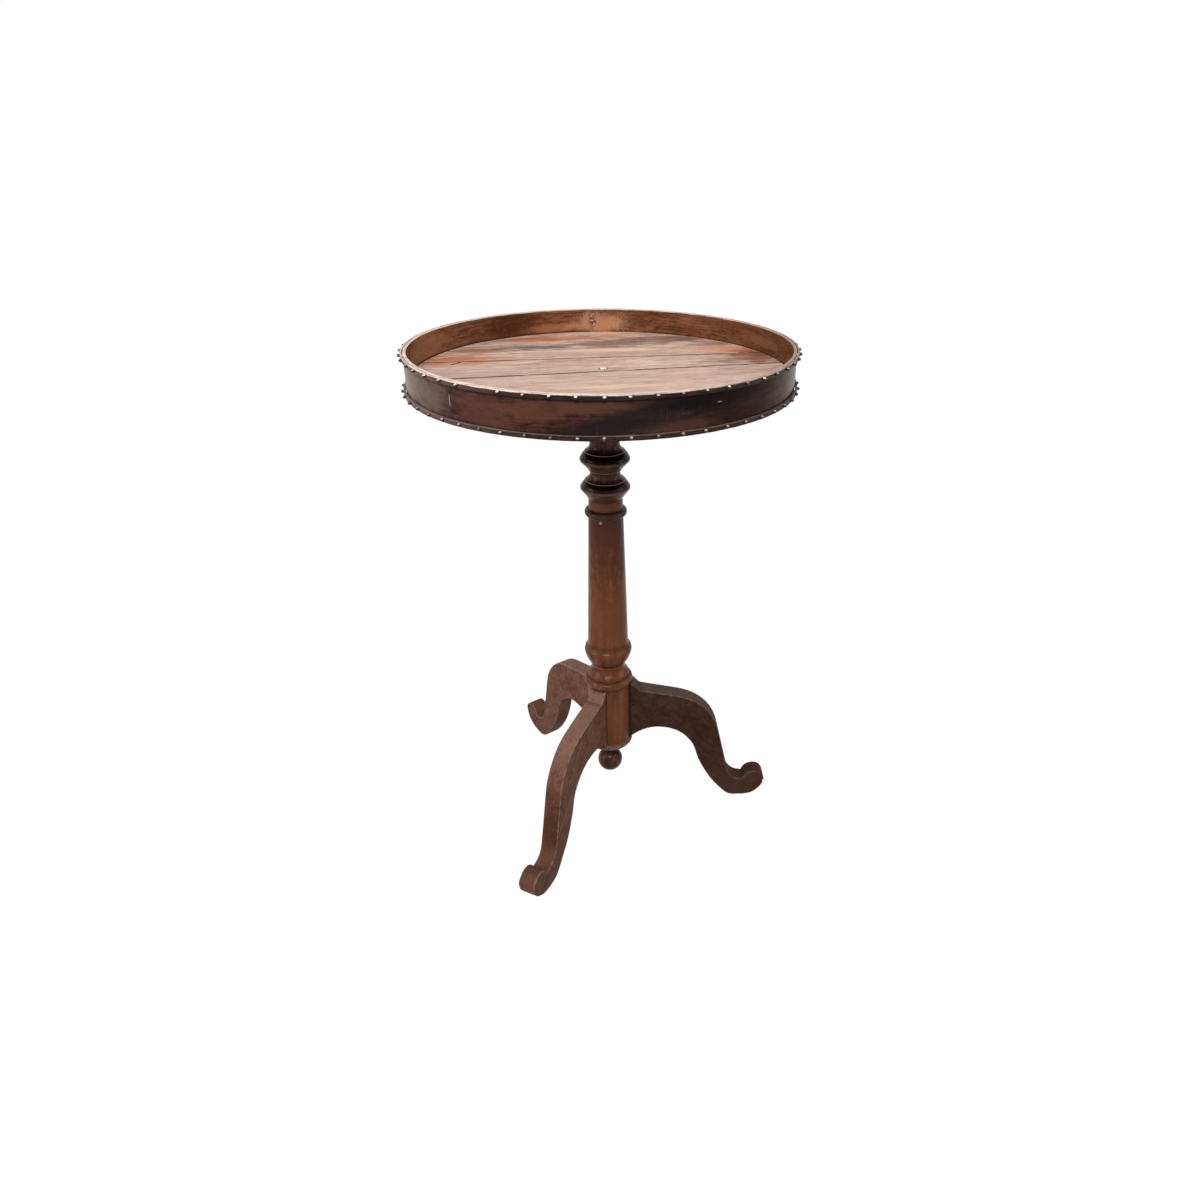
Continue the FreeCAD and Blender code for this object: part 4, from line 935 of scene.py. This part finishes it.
def across_leg(line, knots, rows):
    """The points and normals of a line, its corners eased, at rows between its knots.

    knots are points in millimetres, each taken to the nearest point of the line, and row 2.5 lies
    halfway between the third and the fourth.
    """
    index = np.arange(len(line))
    nearest = [np.argmin(np.hypot(*(line - np.array(knot) / 1000).T)) for knot in knots]
    nearest[-1] = max(nearest[-1], nearest[-2] + 0.01 * index[-1])
    spots = np.interp(rows, np.arange(len(nearest)), nearest)
    soft = softened(line, 2.2)
    slope = np.gradient(soft, axis=0)
    slope /= np.linalg.norm(slope, axis=1)[:, None]
    x, y, ahead_x, ahead_y = (np.interp(spots, index, values) for values in (*soft.T, *slope.T))
    return np.stack([x, y], -1), np.stack([-ahead_y, ahead_x], -1)


def loop(upper, side, lower, back=1):
    """A row's loop: over the top, down the side, below, and all of it backwards on the other."""
    half = np.concatenate([upper, side, lower[:, ::-1]], axis=1)
    return np.concatenate([half, back * half[:, -2:0:-1]], axis=1)


def leg(name, degrees, seed, swept_end):
    """A leg as a strip: each row is a loop over the top, down one side, below and up the other.

    A side point lies on the straight line across the leg, and both arrises are quarter rounds
    whose size wanders along the leg. On the scroll's sides a shallow groove follows a spiral
    whose radius falls evenly with its turn, up to swept_end degrees.
    """
    chance = np.random.default_rng(seed)
    rows_at = np.concatenate([np.linspace(0, 11, 230, endpoint=False), np.linspace(11, 18, 150)])
    over_knots, under_knots = zip(*ACROSS)
    high, high_out = across_leg(over_line, over_knots, rows_at)
    low, low_out = across_leg(under_line, under_knots, rows_at)
    run = np.linspace(0, 1, len(rows_at))
    phase = chance.uniform(0, 6.28, 4)
    ease = 0.0017 + 0.0005 * np.sin(23 * run + phase[0]) + 0.0003 * np.sin(57 * run + phase[1])
    ease = np.minimum(ease, 0.3 * np.linalg.norm(high - low, axis=1))[:, None]
    # From the middle of the top to the side, then down the side and round to the middle below.
    quarter = np.linspace(0, math.pi / 2, 5)
    to_side = np.linspace(0, 1, 6)[:-1] * (LEG_HALF - ease)
    inward = np.concatenate([0 * to_side, ease * (1 - np.cos(quarter))], 1)[..., None]
    thick = np.concatenate([to_side, LEG_HALF - ease + ease * np.sin(quarter)], 1)
    down = np.linspace(0, 1, 34)[1:-1, None]
    side = (high - high_out * ease)[:, None] * (1 - down) + (low + low_out * ease)[:, None] * down
    plane = loop(high[:, None] - high_out[:, None] * inward, side,
                 low[:, None] + low_out[:, None] * inward)
    sides = np.ones(side.shape[:2])
    on_side = loop(0 * thick, sides, 0 * thick)
    handed = loop(thick ** 0, sides, thick ** 0, -1)
    thick = loop(thick, LEG_HALF * sides, thick)
    away = plane - SCROLL
    far = np.hypot(away[..., 0], away[..., 1])
    turn = np.degrees(np.arctan2(away[..., 1], away[..., 0])) % 360 - 172
    turn = np.where(turn < 0, turn + 360, turn)
    groove = np.zeros_like(far)
    for wind in (0, 1):
        swept = turn + 360 * wind
        line_far = 0.0172 - 0.0118 * swept / 560
        near = np.exp(-((far - line_far) / 0.0008) ** 2) * np.clip((swept_end - swept) / 60, 0, 1)
        groove = np.maximum(groove, near)
    hollow = np.clip((far - 0.003) / 0.002, 0, 1)
    wander = 0.00025 * np.sin(plane / (0.021, 0.017) + phase[2:]).prod(-1)
    thick = handed * (thick - on_side * (0.0006 * groove * hollow + 0.00025 + wander))
    reach, rise = plane[..., 0], np.maximum(plane[..., 1], 0.0)
    eased = np.concatenate([0 * to_side, ease ** 0 * np.sin(2 * quarter)], 1)
    marks = {"lay": swung(reach, rise, thick, math.radians(46)) + (seed, 0, 0),
             "edge": loop(eased, 0 * sides, eased), "cut": on_side * groove * hollow}
    return skin(name, swung(reach, thick, rise, math.radians(degrees)), marks=marks, sharp=50)


def leg_finish(name, painted_light_share, shift):
    """Dull mottled wood in painted light: greyer upper faces and lighter arrises, partly wear, and
    dirt in the cuts.
    """
    finish = Finish(name, Specular_IOR_Level=0.02)
    x, y, z = map(finish.where().part, range(3))
    lay = finish.mark("lay")
    dark, plain, pale = (scaled(colour, painted_light_share) for colour in (
        (0.08, 0.034, 0.021), (0.112, 0.05, 0.031), (0.148, 0.072, 0.047)))
    colour, height, _ = wood(finish, dark, plain, pale, 0.022, shift, 0.008, 0.007, 0.07, 0.06)
    blotches = lay.noise((0.026, 0.018, 0.02), 5.0, 0.72, shift + 5)
    colour = colour.under(blotches.step(0.5, 0.6) * 0.4, scaled((0.074, 0.028, 0.016), painted_light_share))
    pale_blotches = (1 - blotches.step(0.38, 0.46)) * 0.34
    colour = colour.under(pale_blotches, scaled((0.17, 0.09, 0.062), painted_light_share))
    rub = lay.noise((0.008, 0.0035, 0.004), 5.0, 0.68, shift + 9)
    up = finish.facing_up()
    # The upper faces are painted lighter where light from above falls, partly wear.
    wear_and_painted_light = (up + (rub - 0.5) * 0.8).step(0.3, 0.85) * z.step(0.02, 0.14)
    wear_and_painted_light = wear_and_painted_light * z.step(0.1, 0.19) * 0.55
    colour = colour.under(wear_and_painted_light, scaled((0.135, 0.058, 0.032), painted_light_share, 0.056))
    # The lower half of the upper faces is darker and redder, and the root's facet is painted
    # lighter where the light falls on it.
    low = up.step(0.02, 0.25) * z.hill(0.07, 0.07)
    colour = colour.under(low * 0.8, scaled((0.044, 0.015, 0.008), painted_light_share))
    root = z.step(0.2034, 0.2044) * up.step(0.05, 0.2)
    colour = colour.under(root * 0.3, scaled((0.118, 0.074, 0.06), painted_light_share, 0.01))
    corner = z.hill(0.2032, 0.0012) * up.step(0.05, 0.2)
    colour = colour.under(corner * 0.35, (0.03, 0.018, 0.013))
    # Painted shade, with some dirt, where the leg meets the shaft.
    joint_shade_and_dirt = 1 - (x * x + y * y).maths("SQRT").step(0.033, 0.038)
    colour = colour.under(joint_shade_and_dirt * 0.7, (0.016, 0.0085, 0.006))
    specks = lay.noise((0.005, 0.003, 0.0035), 3.0, 0.6, shift + 21)
    colour = colour.under(specks.step(0.58, 0.66) * 0.4, scaled(dark, 0.3))
    foot = 1 - z.step(0.04, 0.062)
    colour = colour.under(foot * 0.5, scaled((0.105, 0.052, 0.034), 0.55 + 0.45 * painted_light_share))
    # The arrises are painted lighter, a highlight that is partly wear.
    edge = finish.level("edge") * rub.step(0.36, 0.6)
    colour = colour.under(edge * 0.6, scaled((0.23, 0.15, 0.115), painted_light_share, 0.05))
    colour = colour.under(finish.level("cut") * 0.45, (0.02, 0.012, 0.009))
    return finish.close(colour, rub * 0.2 + 0.42, height + blotches * 0.8)


# The fourth number is a share of painted light: the same wood made darker or lighter for each
# leg as the light falls on it, the right leg in painted shade.
legs = (
    ("leg_a", "leg_right", 359.0, 0.43, 1, 150),
    ("leg_b", "leg_back_left", 124.0, 1.22, 2, 470),
    ("leg_c", "leg_front_left", 241.4, 1.16, 3, 150),
)
for name, node, degrees, painted_light_share, seed, swept_end in legs:
    look = leg_finish(f"{name}_finish", painted_light_share, 90.0 + 7 * seed)
    stand_for(leg(name, degrees, seed, swept_end), look, "leg_wood", node)


# ---- The disc and the finial
# A thin disc with a rounded edge closes the leg slots, and a ball on a hollow neck is tenoned
# through it into the shaft.

DISC_LOW, DISC, DISC_ROUNDING = 0.1095, 0.0346, 0.002
PEG, PEG_LENGTH = 0.009, 0.034
disc_hole = PEG + 0.0002
disc = turned("disc", [
    (disc_hole, DISC_LOW), (DISC - DISC_ROUNDING, DISC_LOW),
    (DISC, 0.5 * (DISC_LOW + DISC_TOP), "by"), (DISC - DISC_ROUNDING, DISC_TOP),
    (disc_hole, DISC_TOP)], lay_shift=0.5, around=96)
# The disc's pale tone feeds the highlight painted on its rounded edge.
disc_look = turned_finish("disc_finish", (0.06, 0.024, 0.012), (0.095, 0.04, 0.022),
                          (0.16, 0.085, 0.055), 121.0, 0.24)
stand_for(disc, disc_look, "shaft_wood", "base_disc")

BALL, BALL_LEVEL = 0.0187, 0.0695
neck_height = DISC_LOW - BALL_LEVEL
finial = turned("ball", [
    (CORE, BALL_LEVEL - BALL), (BALL, BALL_LEVEL, "by"), (0.529 * BALL, BALL_LEVEL + 0.8486 * BALL),
    (0.45 * BALL, BALL_LEVEL + 0.56 * neck_height, "by"),
    (0.64 * BALL, BALL_LEVEL + 0.78 * neck_height),
    (0.74 * BALL, BALL_LEVEL + 0.8 * neck_height), (0.74 * BALL, DISC_LOW),
    (PEG, DISC_LOW), (PEG, DISC_LOW + PEG_LENGTH), (CORE, DISC_LOW + PEG_LENGTH)],
    lay_shift=0.7, around=96, wobble=0.003)
# The dark band over the ball is a painted shadow of the neck and disc, with some dirt.
finial_look = turned_finish("finial_finish", (0.032, 0.013, 0.008), (0.068, 0.03, 0.018),
                            (0.12, 0.056, 0.034), 131.0, 0.28, ((0.0945, 0.017, DARK_STAIN_AND_SHADE, 0.95),))
stand_for(finial, finial_look, "shaft_wood", "finial")


# ---- The studio
# A white floor that keeps a soft shadow, white surroundings, and three soft lamps: one in front
# and above, and one at each side.

def studio_floor():
    """A wide square floor that shows white but still takes the table's shadow."""
    mesh = bpy.data.meshes.new("studio_floor")
    half = 12.0
    mesh.from_pydata([(-half, -half, 0), (half, -half, 0), (half, half, 0), (-half, half, 0)],
                     [], [(0, 1, 2, 3)])
    floor = bpy.data.objects.new("studio_floor", mesh)
    bpy.context.scene.collection.objects.link(floor)
    finish = Finish("studio_floor", Roughness=0.9, Specular_IOR_Level=0.0,
                    Base_Color=(0.36, 0.36, 0.36, 1))
    glow = finish.node("Emission", None, {"Color": (1, 1, 1, 1), "Strength": 1.19})
    seen = finish.node("LightPath", output=0) * 0.82
    direct = seen + finish.node("LightPath", output=3) * 0.75
    mixed = finish.node("MixShader", None,
                        {0: direct, 1: Paint(finish, finish.shader.outputs[0]), 2: glow})
    finish.show(mixed, "Material Output")
    floor.data.materials.append(finish.material)


def surroundings(ambient):
    """White to the eye and in reflections, and a plain ambient light on everything."""
    world = bpy.data.worlds.new("surroundings")
    bpy.context.scene.world = world
    sky = Finish("surroundings", world)
    seen = sky.node("LightPath", output=0).maths("MAXIMUM", sky.node("LightPath", output=3))
    plain, white = (sky.node("Background", None, {"Color": (1, 1, 1, 1), "Strength": strength})
                    for strength in (ambient, 1.0))
    sky.show(sky.node("MixShader", None, {0: seen, 1: plain, 2: white}), "World Output")


def soft_lamp(name, place, target, wide, tall, power):
    """An oblong lamp that faces a target."""
    data = bpy.data.lights.new(name, "AREA")
    data.shape = "RECTANGLE"
    data.size, data.size_y = wide, tall
    data.energy = power
    lamp = bpy.data.objects.new(name, data)
    lamp.location = place
    lamp.rotation_euler = (Vector(target) - Vector(place)).to_track_quat("-Z", "Y").to_euler()
    bpy.context.scene.collection.objects.link(lamp)


studio_floor()
surroundings(0.5)
soft_lamp("front_lamp", (-0.35, -1.75, 2.0), (0, 0, 0.5), 1.0, 0.5, 41.0)
soft_lamp("left_lamp", (-2.2, -0.6, 1.2), (0, 0, 0.5), 1.0, 1.6, 24.0)
soft_lamp("right_lamp", (2.2, -0.3, 1.2), (0, 0, 0.5), 1.0, 1.6, 14.0)

# The photographer stands in front and looks down on the tray.
IMAGE_SIZE, FOCUS_PIXELS = 1200, 847.65
AXIS_X, AXIS_Y = 665.3, 528.69
camera_data = bpy.data.cameras.new("photo_camera")
camera_data.sensor_width = 36.0
camera_data.lens = FOCUS_PIXELS / IMAGE_SIZE * camera_data.sensor_width
camera_data.shift_x = (IMAGE_SIZE / 2 - AXIS_X) / IMAGE_SIZE
camera_data.shift_y = (AXIS_Y - IMAGE_SIZE / 2) / IMAGE_SIZE
camera = bpy.data.objects.new("photo_camera", camera_data)
bpy.context.scene.collection.objects.link(camera)
camera.matrix_world = (
    Matrix.Translation((0, -1.0675, 0.9463)) @ Matrix.Rotation(-0.0765, 4, "Z")
    @ Matrix.Rotation(math.pi / 2 - 0.4245, 4, "X") @ Matrix.Rotation(0.0136, 4, "Z"))
bpy.context.scene.camera = camera
bpy.context.scene.view_settings.view_transform = "Standard"
